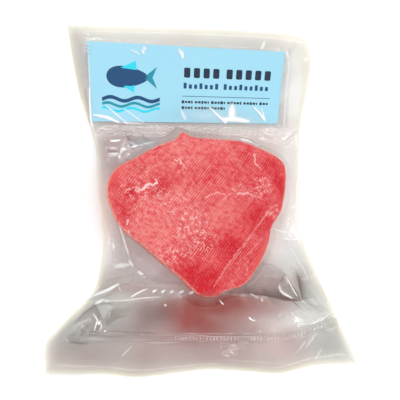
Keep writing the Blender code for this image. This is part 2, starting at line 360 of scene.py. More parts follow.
def outsidePocket(x, y):
    # signed distance from the tapered rounded square that the film is formed into
    corner = pouch["pocketCorner"] * mm
    fromMiddle = y - pouch["pocketCentre"][1] * mm
    across = np.abs(x - pouch["pocketCentre"][0] * mm) / (1.0 + pouch["pocketTaper"] * fromMiddle)
    beyondX = across - pouch["pocketHalf"][0] * mm + corner
    beyondY = np.abs(fromMiddle) - pouch["pocketHalf"][1] * mm + corner
    outside = np.hypot(np.maximum(beyondX, 0.0), np.maximum(beyondY, 0.0))
    return outside + np.minimum(np.maximum(beyondX, beyondY), 0.0) - corner


card = {
    # lower left, lower right, upper right and upper left, as the card lies bowed in the pouch
    "corners": ((-76.6, 50.1), (51.8, 53.0), (57.3, 104.7), (-81.1, 105.2)),
    "half": (67.0, 27.5),
    "thickness": 0.35,
    "lift": 0.9,            # underside above the back web
}


def cardPlace(across, along):
    # card coordinates in millimetres from its centre to the scene's x and y in metres
    s, t = 0.5 + 0.5 * across / card["half"][0], 0.5 + 0.5 * along / card["half"][1]
    lowLeft, lowRight, upRight, upLeft = np.array(card["corners"]) * mm
    x, y = ((1.0 - t) * ((1.0 - s) * lowLeft[i] + s * lowRight[i]) + t * ((1.0 - s) * upLeft[i] + s * upRight[i])
            for i in range(2))
    return x, y


def onCard(x, y, margin):
    # 1 over the card, falling to 0 across the margin outside it
    return smoothStep(1.0 - outsideOf(np.array(card["corners"]) * mm, x, y) / (margin * mm))


# Slack film beside the steak's lower right, in creased flat faces: each corner's x, y, height and greyness, the
# greyness being painted shade and light on the faces
pleat = {
    "corners": {
        "rimUpper": (36.5, -40.0, 8.0, 0.05), "rim": (27.0, -50.0, 13.0, 0.35), "rimLower": (14.0, -61.0, 11.0, 0.45),
        "topFirst": (37.7, -45.4, 7.0, 0.34), "topSecond": (42.1, -45.1, 6.5, 0.32), "topThird": (47.0, -45.8, 5.5, 0.34),
        "topFourth": (50.5, -47.7, 5.0, 0.42), "topLast": (54.1, -51.0, 4.5, 0.60),
        "ridgeFirst": (29.0, -52.0, 11.5, 0.32), "ridgeSecond": (38.0, -53.0, 10.0, 0.26),
        "ridgeThird": (45.0, -53.3, 8.5, 0.10), "ridgeLast": (49.3, -53.0, 7.5, 0.50),
        "lowFirst": (22.0, -58.0, 9.0, 0.50), "lowSecond": (34.0, -59.0, 8.0, 0.55), "lowThird": (43.0, -60.0, 7.0, 0.55),
        "lowLast": (49.3, -60.4, 6.5, 0.85),
        "footStart": (14.0, -63.8, 1.2, 0.6), "footFirst": (30.0, -64.6, 0.5, 1.15), "footSecond": (41.8, -66.1, 0.3, 1.4),
        "footThird": (49.2, -67.6, 0.2, 1.6), "footLast": (56.0, -68.9, 0.1, 1.9), "tip": (66.4, -69.5, 0.3, 1.8),
        "coneTop": (54.3, -51.0, 4.5, 0.60), "coneLeft": (49.8, -60.4, 6.6, 0.50), "coneMiddle": (56.0, -58.2, 6.0, 0.42),
        "coneFoot": (56.6, -66.0, 3.0, 0.62), "coneRight": (60.0, -60.3, 3.5, 0.66), "coneTip": (66.4, -69.2, 0.3, 1.3),
        "sideFoot": (56.6, -66.5, 3.0, 1.5),
        "stripTop": (54.8, -50.4, 0.8, -0.05), "stripUpper": (62.2, -49.2, 0.9, -0.05), "stripTip": (66.8, -69.0, 0.3, 0.10),
        "wedgeTop": (62.6, -49.8, 0.8, 0.45), "wedgeSide": (64.4, -54.6, 0.7, 1.25), "wedgeTip": (67.0, -69.0, 0.1, 1.2),
        "wing": (70.8, -52.6, 2.6, 0.30), "wingLow": (73.5, -60.5, 0.6, 0.05), "wingTop": (68.0, -43.0, 0.0, 0.0),
        "wingEnd": (78.0, -67.0, 0.0, 0.0),
    },
    "faces": (
        ("rimUpper", "topFirst", "rim"), ("rim", "topFirst", "ridgeFirst"), ("rim", "ridgeFirst", "lowFirst"),
        ("rimLower", "rim", "lowFirst"), ("rimLower", "lowFirst", "footStart"),
        ("topFirst", "topSecond", "ridgeSecond"), ("topFirst", "ridgeSecond", "ridgeFirst"),
        ("topSecond", "topThird", "ridgeSecond"), ("topThird", "ridgeThird", "ridgeSecond"),
        ("topThird", "topFourth", "ridgeThird"), ("topFourth", "topLast", "ridgeLast"),
        ("topFourth", "ridgeLast", "ridgeThird"), ("topLast", "lowLast", "ridgeLast"),
        ("ridgeFirst", "ridgeSecond", "lowSecond"), ("ridgeFirst", "lowSecond", "lowFirst"),
        ("ridgeSecond", "ridgeThird", "lowThird"), ("ridgeSecond", "lowThird", "lowSecond"),
        ("ridgeThird", "ridgeLast", "lowThird"), ("ridgeLast", "lowLast", "lowThird"),
        ("lowFirst", "lowSecond", "footFirst"), ("lowFirst", "footFirst", "footStart"),
        ("lowSecond", "lowThird", "footSecond"), ("lowSecond", "footSecond", "footFirst"),
        ("lowThird", "lowLast", "footThird"), ("lowThird", "footThird", "footSecond"),
        ("lowLast", "sideFoot", "footThird"), ("sideFoot", "footLast", "footThird"), ("sideFoot", "tip", "footLast"),
        ("coneTop", "coneMiddle", "coneLeft"), ("coneTop", "coneRight", "coneMiddle"),
        ("coneLeft", "coneMiddle", "coneFoot"), ("coneMiddle", "coneRight", "coneFoot"),
        ("coneRight", "coneTip", "coneFoot"), ("stripTop", "stripUpper", "stripTip"),
        ("wedgeTop", "wing", "wedgeSide"), ("wedgeSide", "wing", "wingLow"), ("wedgeSide", "wingLow", "wedgeTip"),
        ("wingTop", "wing", "wedgeTop"), ("wingLow", "wingEnd", "wedgeTip"),
    ),
    "softness": 0.35,
    "strength": 1.25,
}

# Film gathered to a point at the upper left of the steak; the corners' greyness paints shade and light on its faces
tent = {
    "corners": {
        "apex": (-53.1, 39.2, 2.4, -0.10), "petalLeft": (-57.4, 31.0, 3.6, -0.05), "petalRight": (-49.9, 31.8, 3.6, -0.15),
        "darkTop": (-52.6, 41.0, 0.2, 0.35), "darkFoot": (-47.6, 32.9, 0.0, 0.40), "darkSide": (-50.0, 32.4, 0.8, 0.50),
        "streakLeft": (-65.0, 39.2, 1.0, 0.05), "streakRight": (-57.0, 40.0, 1.4, 0.10),
        "leftUpper": (-68.5, 35.0, 0.4, 0.10), "leftFold": (-66.2, 29.6, 0.2, 0.45), "knot": (-58.4, 28.3, 2.6, 0.30),
        "leftLower": (-65.8, 27.6, 1.2, -0.15), "leftFoot": (-65.0, 22.0, 0.2, 0.10), "underKnot": (-58.2, 23.5, 1.6, 0.25),
        "steakEdge": (-50.6, 27.6, 3.0, 0.20), "fanTop": (-44.5, 42.0, 0.0, 0.00), "fanRight": (-41.5, 34.5, 0.0, 0.20),
        "shadeTop": (-41.5, 40.5, 0.0, 0.35), "shadeRight": (-35.0, 36.8, 0.0, 0.25),
    },
    "faces": (
        ("apex", "petalLeft", "petalRight"), ("apex", "darkTop", "darkSide"), ("darkTop", "darkFoot", "darkSide"),
        ("apex", "streakRight", "petalLeft"), ("streakRight", "streakLeft", "leftUpper"),
        ("streakRight", "leftUpper", "petalLeft"), ("leftUpper", "leftFold", "knot"), ("leftUpper", "knot", "petalLeft"),
        ("leftLower", "underKnot", "knot"), ("leftLower", "leftFoot", "underKnot"),
        ("petalLeft", "knot", "steakEdge"), ("petalLeft", "steakEdge", "petalRight"), ("knot", "underKnot", "steakEdge"),
        ("darkTop", "fanTop", "darkFoot"), ("fanTop", "fanRight", "darkFoot"), ("fanTop", "shadeTop", "fanRight"),
        ("shadeTop", "shadeRight", "fanRight"),
    ),
    "softness": 0.4,
    "strength": 1.9,
}

# Film drawn together at the left of the flap: a smooth hollow, a lobe beside it and a fan with painted shade; the
# corners' greyness paints shade and light on the faces
gather = {
    "corners": {
        "left": (-85.0, -84.5, 0.2, 0.30), "upperLeft": (-78.6, -76.5, 0.5, 0.45), "top": (-71.4, -71.5, 0.3, 0.60),
        "upperRight": (-67.4, -79.0, 0.9, 0.75), "right": (-66.0, -84.3, 0.4, 0.60), "lowRight": (-70.0, -88.5, 0.1, 0.40),
        "low": (-80.0, -91.5, 0.0, 0.30), "middle": (-75.0, -80.6, 1.9, 0.20),
        "lobeTop": (-69.5, -72.2, 0.3, -0.10), "lobeRight": (-61.2, -73.0, 0.6, -0.10),
        "lobeMiddle": (-63.6, -77.0, 1.0, -0.15), "lobeFoot": (-65.2, -84.6, 0.2, -0.05),
        "fanTop": (-61.8, -75.0, 0.5, 0.50), "fanFoot": (-64.8, -85.2, 0.0, 0.65), "fanBend": (-60.6, -82.0, 0.3, 0.45),
        "fanEnd": (-50.0, -78.4, 0.0, 0.05), "fanUpper": (-46.0, -73.4, 0.3, 0.05),
    },
    "faces": (
        ("middle", "left", "upperLeft"), ("middle", "upperLeft", "top"), ("middle", "top", "upperRight"),
        ("middle", "upperRight", "right"), ("middle", "right", "lowRight"), ("middle", "lowRight", "low"),
        ("middle", "low", "left"), ("lobeTop", "lobeRight", "lobeMiddle"), ("lobeTop", "lobeMiddle", "lobeFoot"),
        ("fanTop", "fanBend", "fanFoot"), ("fanTop", "fanUpper", "fanEnd"), ("fanTop", "fanEnd", "fanBend"),
    ),
    "softness": 0.5,
    "strength": 1.25,
}

# Film left and right of a faint line beside the card
besideCard = {
    "corners": {
        "upperLeft": (53.5, 108.0, 0.0, 0.28), "upperRight": (62.0, 108.0, 0.0, 0.28),
        "lowerLeft": (52.0, 51.0, 0.0, 0.30), "lowerRight": (59.4, 51.0, 0.0, 0.30),
    },
    "faces": (("upperLeft", "upperRight", "lowerRight"), ("upperLeft", "lowerRight", "lowerLeft")),
    "softness": 0.6,
    "strength": 1.0,
}

# Standing creases in the film: points, half width, height, all in millimetres
creases = (
    {"points": ((-88.0, -68.5), (-76.5, -67.0), (-68.7, -64.2), (-63.5, -62.2), (-57.2, -58.4)), "width": 2.6, "height": 2.6},
    {"points": ((-72.2, -69.6), (-50.0, -69.4), (-32.0, -67.4), (-14.0, -68.5)), "width": 1.6, "height": 0.7},
    {"points": ((-48.6, -66.8), (-45.4, -64.8), (-42.8, -63.5), (-38.2, -61.6)), "width": 1.5, "height": 1.2},
    {"points": ((-62.3, -28.3), (-60.8, -38.2), (-60.0, -47.0), (-49.6, -45.8)), "width": 2.6, "height": 0.9},
    {"points": ((-72.8, -77.7), (-69.8, -82.0), (-71.7, -88.0)), "width": 1.2, "height": 0.8},
    {"points": ((-79.0, -90.5), (-66.0, -91.0), (-52.0, -90.4)), "width": 1.6, "height": 0.5},
    {"points": ((10.6, -69.4), (12.4, -71.6)), "width": 0.8, "height": 0.5},
    {"points": ((30.1, -80.4), (34.6, -83.1)), "width": 1.1, "height": 0.7},
    {"points": ((31.6, -65.8), (37.1, -67.9)), "width": 0.9, "height": 0.6},
    {"points": ((38.0, -66.9), (40.3, -69.8)), "width": 0.8, "height": 0.5},
    {"points": ((69.2, -100.4), (72.3, -95.7), (75.4, -91.4)), "width": 0.9, "height": 0.2},
    {"points": ((75.4, -108.9), (77.0, -104.7), (79.6, -101.0)), "width": 0.9, "height": 0.2},
    {"points": ((47.2, -85.5), (49.7, -80.8), (54.3, -76.6)), "width": 1.2, "height": 0.3},
    {"points": ((48.2, -86.5), (55.7, -81.3), (63.7, -77.1)), "width": 1.2, "height": 0.3},
    {"points": ((46.4, -21.8), (58.5, -24.0)), "width": 1.0, "height": 0.6},
    {"points": ((52.4, -27.6), (65.7, -28.6)), "width": 1.0, "height": 0.6},
    {"points": ((50.0, -33.0), (56.0, -42.0), (58.0, -48.0)), "width": 1.8, "height": 0.9},
    {"points": ((-75.5, 54.6), (-66.0, 53.0), (-58.7, 49.9)), "width": 1.3, "height": 0.8},
    {"points": ((-67.0, 61.3), (-52.9, 49.2)), "width": 0.8, "height": 0.5},
    {"points": ((-55.4, 59.9), (-41.8, 50.2)), "width": 0.7, "height": 0.4},
    {"points": ((-43.1, 104.0), (-41.8, 98.4)), "width": 1.3, "height": 0.6},
    {"points": ((-50.7, 100.6), (-44.8, 97.8)), "width": 0.8, "height": 0.4},
    {"points": ((-17.4, 103.6), (-15.5, 96.4)), "width": 1.3, "height": 0.8},
    {"points": ((3.8, 62.9), (14.6, 52.3), (17.6, 56.6)), "width": 1.1, "height": 0.6},
    {"points": ((35.0, 64.4), (38.9, 60.3), (43.0, 54.5)), "width": 1.1, "height": 0.6},
    {"points": ((39.8, 64.5), (41.6, 59.8), (43.0, 54.5)), "width": 0.8, "height": 0.4},
    {"points": ((54.1, 39.9), (63.2, 46.2), (68.1, 50.0)), "width": 1.6, "height": 0.8},
    {"points": ((57.8, 106.7), (60.8, 96.6), (59.6, 83.9), (56.5, 51.3)), "width": 1.4, "height": 0.7},
    {"points": ((25.0, 43.5), (32.7, 41.4), (38.4, 38.4), (41.0, 33.5)), "width": 1.8, "height": 1.4},
    {"points": ((35.2, 46.9), (48.6, 41.2)), "width": 1.0, "height": 0.5},
    {"points": ((-80.8, 114.2), (-80.4, 90.0), (-78.0, 65.6), (-76.3, 41.9)), "width": 1.2, "height": 0.6},
    {"points": ((-69.8, -2.0), (-65.6, -20.9), (-62.5, -40.0)), "width": 1.8, "height": 0.8},
    {"points": ((-58.6, -18.0), (-54.2, -31.0), (-49.2, -46.2), (-43.0, -52.6), (-36.8, -56.2), (-24.0, -57.2),
                (-12.0, -58.0)), "width": 1.5, "height": 0.7},
)
beads = {"start": (-33.2, -62.8), "end": (-10.2, -63.8), "count": 5, "length": 2.1, "width": 0.95, "height": 0.8}
sealBand = {
    "line": ((-86.0, -93.0), (-60.0, -93.0), (-20.0, -93.5), (10.0, -94.0), (38.0, -94.2), (58.0, -93.2),
             (68.0, -90.8), (78.0, -87.6), (92.0, -83.6)),
    "halfWidth": 2.5, "edge": 0.9, "ridge": 0.4, "ribPitch": 2.5, "rib": 0.12,
}
crumple = {"centre": (-78.0, -89.0), "reach": (14.0, 7.0), "height": 0.2, "size": 3.0}


def overFaces(x, y, fold, which):
    # a value of the fold's corners (2 its height, 3 its greyness) spread over its flat faces
    spread = np.zeros(x.shape)
    corners = fold["corners"]
    for names in fold["faces"]:
        (ax, ay), (bx, by), (cx, cy) = (np.array(corners[n][:2]) * mm for n in names)
        first, second, third = (corners[n][which] for n in names)
        area = (bx - ax) * (cy - ay) - (cx - ax) * (by - ay)
        toSecond = ((x - ax) * (cy - ay) - (cx - ax) * (y - ay)) / area
        toThird = ((bx - ax) * (y - ay) - (x - ax) * (by - ay)) / area
        inside = (toSecond >= 0.0) & (toThird >= 0.0) & (toSecond + toThird <= 1.0)
        value = first + toSecond * (second - first) + toThird * (third - first)
        spread = np.where(inside & (np.abs(value) > np.abs(spread)), value, spread)
    return spread


def softFaces(x, y, fold, which):
    # the same, rounded over by averaging close by
    reach = fold["softness"] * mm
    steps = [(0.0, 0.0)] + [(reach * math.cos(t), reach * math.sin(t)) for t in np.arange(6) * math.pi / 3]
    return sum(overFaces(x + dx, y + dy, fold, which) for dx, dy in steps) / len(steps)


def slack(x, y):
    # everything that stands up from the flat front web
    height = sum(softFaces(x, y, fold, 2) for fold in (pleat, tent, gather)) * mm
    for crease in creases:
        away, share = toPolyline(x, y, crease["points"], crease["width"] * mm)
        width = crease["width"] * mm * (0.35 + 0.65 * np.sqrt(hump(2.0 * share - 1.0)))
        profile = np.clip(1.0 - away / width, 0.0, 1.0)
        profile = profile * profile * (1.9 - 0.9 * profile)
        height = height + crease["height"] * mm * profile * (0.25 + 0.75 * hump(1.6 * share - 0.8))
    for bead in beadPlaces():
        height = height + beads["height"] * mm * beadShape(x, y, bead)
    inBand, atEdge = sealPlaces(x, y)
    height = height + sealBand["rib"] * mm * inBand * np.cos(2.0 * math.pi * x / (sealBand["ribPitch"] * mm))
    height = height + sealBand["ridge"] * mm * atEdge
    near = crumpleReach(x, y)
    ridged = 1.0 - np.abs(roughness(x, y, crumple["size"], 3.0)) * 2.0
    return height + crumple["height"] * mm * near * np.clip(ridged, 0.0, 1.0)


def sealPlaces(x, y):
    # within the crimped band, and at its two edges
    reach = (sealBand["halfWidth"] + sealBand["edge"]) * mm
    away, _ = toPolyline(x, y, sealBand["line"], reach)
    inBand = smoothStep((sealBand["halfWidth"] * mm - away) / (0.5 * mm))
    atEdge = hump(np.clip((away - sealBand["halfWidth"] * mm) / (sealBand["edge"] * mm), -1.0, 1.0))
    return inBand, atEdge


def crumpleReach(x, y):
    dx = (x - crumple["centre"][0] * mm) / (crumple["reach"][0] * mm)
    dy = (y - crumple["centre"][1] * mm) / (crumple["reach"][1] * mm)
    return hump(np.minimum(np.hypot(dx, dy), 1.0))


def beadPlaces():
    (startX, startY), (endX, endY) = beads["start"], beads["end"]
    for share in np.linspace(0.0, 1.0, beads["count"]):
        yield (startX + share * (endX - startX)) * mm, (startY + share * (endY - startY)) * mm


def beadShape(x, y, bead):
    # a small slanted ridge
    dx, dy = x - bead[0], y - bead[1]
    along, across = dx * 0.85 + dy * 0.5, dy * 0.85 - dx * 0.5
    away = np.hypot(along / (beads["length"] * mm), across / (beads["width"] * mm))
    return hump(np.minimum(away, 1.0))


def waviness(x, y):
    # the film is never quite flat: broad waves on the flap, faint ones elsewhere
    flap = smoothStep((-66.0 * mm - y) / (20.0 * mm))
    broad = roughness(x, y, 34.0, 7.0, 1) * 1.1 * flap
    small = roughness(x, y, 11.0, 5.0, 1) * (0.22 + 0.08 * flap)
    return np.maximum((broad + small) * mm, -0.35 * mm)


def steakRing(bearing, turn, grow):
    power = 2.0 / rimPower
    reach = (steakReach(bearing) + grow) * math.cos(turn) ** power
    plan = steakCentre + reach[:, None] * np.column_stack((np.cos(bearing), np.sin(bearing)))
    rise = math.copysign(abs(math.sin(turn)) ** power, turn) * (steakHalf + grow)
    return np.column_stack((plan, np.full(len(bearing), steakMiddleZ + rise)))


film = {
    "sideSteps": (204, 130, 60, 80, 190),       # open end, right below, right above, card end, left
    "topTurns": (85, 72, 60, 49, 40, 32, 25, 19, 14),
    "slopeSteps": 16,
    "flangeSteps": 104,
    "backSteps": 6,
    "slopePower": 1.25,
    "offSteak": 0.25,
    "bearingBlend": 0.85,
}


def pouchOutline():
    right = smoothCurve(pouch["rightEdge"])
    sides = (smoothCurve(pouch["openEnd"]), right[:61], right[60:],
             smoothCurve(pouch["cardEnd"])[::-1], smoothCurve(pouch["leftEdge"])[::-1])
    return np.vstack([evenlySpaced(side, steps) for side, steps in zip(sides, film["sideSteps"])])


def landingPoints(inner, outer):
    # where the sloping film from the steak meets the flat film, on each ray to the edge
    shares = np.linspace(0.0, 0.94, 95)
    x = inner[:, :1] + (outer - inner)[:, :1] * shares
    y = inner[:, 1:] + (outer - inner)[:, 1:] * shares
    clear = np.minimum(outsideOf(steakCurve, x, y) - pouch["hugWidth"] * mm, outsidePocket(x, y))
    landed = clear >= 0.0
    first = np.where(landed.any(axis=1), landed.argmax(axis=1), len(shares) - 1)
    first = np.maximum(first, 1)
    row = np.arange(len(inner))
    before, after = clear[row, first - 1], clear[row, first]
    t = np.clip(-before / np.where(after == before, 1.0, after - before), 0.0, 1.0)
    share = shares[first - 1] + t * (shares[first] - shares[first - 1])
    around = np.concatenate((share[-4:], share, share[:4]))
    share = np.convolve(around, np.ones(9) / 9.0, mode="valid")
    return inner + (outer - inner) * share[:, None]


def makeFilm():
    outer = pouchOutline()
    away = outer - steakCentre
    true = np.unwrap(np.arctan2(away[:, 1], away[:, 0]))
    even = 2.0 * math.pi * np.arange(len(outer)) / len(outer)
    bearing = film["bearingBlend"] * true + (1.0 - film["bearingBlend"]) * (even + (true - even).mean())
    rings = [steakRing(bearing, math.radians(t), film["offSteak"] * mm) for t in film["topTurns"]]
    leave = rings[-1]
    landing = landingPoints(leave[:, :2], outer)
    for share in np.linspace(0.0, 1.0, film["slopeSteps"] + 1)[1:]:
        plan = leave[:, :2] + (landing - leave[:, :2]) * share
        flat = filmUnder(*plan.T) + pouch["webGap"] * mm
        drop = (leave[:, 2] - flat) * (1.0 - share) ** film["slopePower"]
        calm = share**2
        rings.append(np.column_stack((plan, flat + np.maximum(drop, 0.0) * 1.0
                                      + np.maximum(slack(*plan.T) - drop * (1.0 - calm), 0.0))))
    for share in np.linspace(0.0, 1.0, film["flangeSteps"] + 1)[1:]:
        plan = landing + (outer - landing) * share
        flat = filmUnder(*plan.T) + pouch["webGap"] * mm * (1.0 - 0.8 * smoothStep((share - 0.7) / 0.3))
        flat = flat + onCard(*plan.T, 2.0) * 1.0 * mm
        fade = 1.0 - smoothStep((share - 0.70) / 0.30)
        rings.append(np.column_stack((plan, flat + (slack(*plan.T) + waviness(*plan.T)) * fade)))
    for share in np.linspace(1.0, 0.0, film["backSteps"] + 1)[:-1]:
        plan = landing + (outer - landing) * share
        rings.append(np.column_stack((plan, filmUnder(*plan.T))))
    for share in (1.0, 0.66, 0.33, 0.0):
        plan = leave[:, :2] + (landing - leave[:, :2]) * share
        rings.append(np.column_stack((plan, filmUnder(*plan.T))))
    for share in (0.9, 0.4):
        rings.append(np.column_stack((steakCentre + (leave[:, :2] - steakCentre) * share,
                                      np.full(len(leave), 0.2 * mm))))
    top = (*steakCentre, steakMiddleZ + steakHalf + film["offSteak"] * mm)
    obj = wrapRings("pouch_film_skin", rings, top, (*steakCentre, 0.2 * mm))
    obj.data.materials.append(makeFilmMaterial())
    paintFilm(obj)
    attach(obj, "root")
    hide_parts("pouch_film")
    print("film:", len(obj.data.polygons), "faces")


# How the film looks from place to place: centre, reach, then changes in greyness (its tint and painted shade), pinkness
# and painted highlight
filmZones = {
    "cardEndLeft": ((-88.0, 85.0), (8.0, 40.0), 0.34, 0.0, 0.0),
    "cardEndRight": ((65.0, 80.0), (9.0, 36.0), -0.42, 0.0, 0.0),
    "belowCard": ((-6.0, 44.5), (50.0, 5.0), 0.17, 0.40, 0.0),
    "belowCardLeft": ((-60.0, 34.0), (14.0, 12.0), 0.24, 0.45, 0.0),
    "waistLeft": ((-70.0, 4.0), (5.0, 40.0), -0.14, 0.05, 0.0),
    "besideLeft": ((-66.5, 2.0), (2.5, 24.0), 0.10, 0.40, 0.0),
    "waistLeftLow": ((-66.0, -36.0), (5.0, 14.0), -0.42, 0.0, 0.0),
    "waistRight": ((60.0, -5.0), (8.0, 34.0), -0.28, -0.3, 0.0),
    "besideSteakRight": ((47.0, -30.0), (6.0, 13.0), -0.45, -0.1, 0.0),
    "besideSteakUpperRight": ((56.5, 0.0), (3.5, 26.0), -0.25, -0.1, 0.0),
    "waistRightTop": ((60.0, 42.0), (12.0, 14.0), -0.12, 0.0, 0.0),
    "waistRightLow": ((57.0, -34.0), (9.0, 12.0), -0.14, -0.4, 0.0),
    "pocketBelow": ((-30.0, -61.5), (30.0, 3.0), 0.10, 0.55, 0.0),
    "pocketLeft": ((-59.5, -34.0), (3.0, 14.0), -0.12, 0.10, 0.0),
    "lowLeft": ((-72.0, -63.0), (12.0, 10.0), 0.20, 0.0, 0.0),
    "flapLeft": ((-62.0, -82.0), (22.0, 12.0), 0.22, -0.3, 0.0),
    "flapLowLeft": ((-56.0, -88.0), (15.0, 5.0), 0.30, 0.2, 0.0),
    "flapFarLeft": ((-84.0, -92.0), (13.0, 8.0), 0.42, -0.5, 0.0),
    "flapEdgeLeft": ((-86.0, -74.0), (6.0, 6.0), -0.30, -0.3, 0.0),
    "flapNearLeft": ((-35.0, -78.0), (14.0, 11.0), 0.72, 1.1, 0.0),
    "flapMiddleTop": ((0.0, -80.0), (46.0, 9.0), 0.20, 0.4, 0.0),
    "flapBesideSteakReflection": ((-23.0, -76.0), (8.0, 7.0), 0.68, 0.6, 0.0),
    "flapAboveBand": ((0.0, -87.0), (24.0, 5.0), 0.22, 0.1, 0.0),
    "flapAboveBandRight": ((52.0, -87.0), (13.0, 6.0), -0.28, 0.0, 0.0),
    "roll": ((36.0, -59.0), (22.0, 8.0), 0.05, 1.3, 0.0),
    "tentTone": ((-57.0, 32.0), (10.0, 9.0), -0.15, 0.20, 0.05),
    "belowCardGrey": ((-48.0, 44.5), (20.0, 5.5), 0.72, 0.15, 0.0),
    "waistLeftHigh": ((-67.5, 24.0), (6.0, 14.0), 0.42, 0.1, 0.0),
    "belowPocketLeft": ((-50.0, -61.5), (17.0, 5.0), 0.60, 0.4, 0.0),
    "belowCardPale": ((24.0, 45.0), (16.0, 4.0), -0.25, -0.1, 0.0),
    "lowPanelLeft": ((-59.0, -54.0), (11.0, 8.0), 0.38, 0.2, 0.0),
    "besidePocket": ((-58.0, -37.0), (3.5, 13.0), 0.22, 0.1, 0.0),
    "pocketNearSteak": ((-34.0, -46.0), (12.0, 7.0), -0.22, -0.1, 0.0),
    "waistLeftClear": ((-66.5, -12.0), (3.5, 14.0), -0.30, 0.0, 0.0),
    "underRoll": ((42.0, -73.0), (20.0, 6.0), 0.42, 1.3, 0.0),
    "bandMiddle": ((-2.0, -92.0), (44.0, 6.0), 0.32, 0.6, 0.0),
    "flapMiddle": ((-2.0, -103.0), (42.0, 12.0), 0.22, 0.95, 0.0),
    "flapMiddleLeft": ((-42.0, -104.0), (8.0, 9.0), 0.05, 0.45, 0.0),
    "flapFootLeft": ((-80.0, -102.0), (26.0, 9.0), 0.36, 0.55, 0.0),
    "flapPale": ((62.0, -79.0), (22.0, 8.0), -0.42, -0.4, 0.0),
    "flapPaleFoot": ((56.0, -98.0), (22.0, 11.0), -0.28, 0.5, 0.0),
    "flapRight": ((86.0, -98.0), (13.0, 9.0), 0.28, -0.5, 0.0),
    "cardGlare": ((2.0, 57.0), (19.0, 5.0), 0.0, 0.0, 0.30),
    "cardGlareRight": ((32.0, 55.0), (13.0, 4.0), 0.0, 0.0, 0.20),
}
# Where the film looks cooler: centre, reach, amount
coolZones = (
    ((-58.0, 34.0), (17.0, 14.0), 1.5), ((-36.0, 42.0), (16.0, 5.0), 0.8), ((-48.0, -44.0), (16.0, 14.0), 1.1), ((-26.0, -54.0), (14.0, 7.0), 1.2),
    ((58.0, -36.0), (9.0, 12.0), 0.7), ((60.0, -4.0), (6.0, 26.0), 0.5), ((40.0, -50.0), (12.0, 6.0), 0.6),
    ((54.0, -77.0), (16.0, 7.0), 0.5),
)
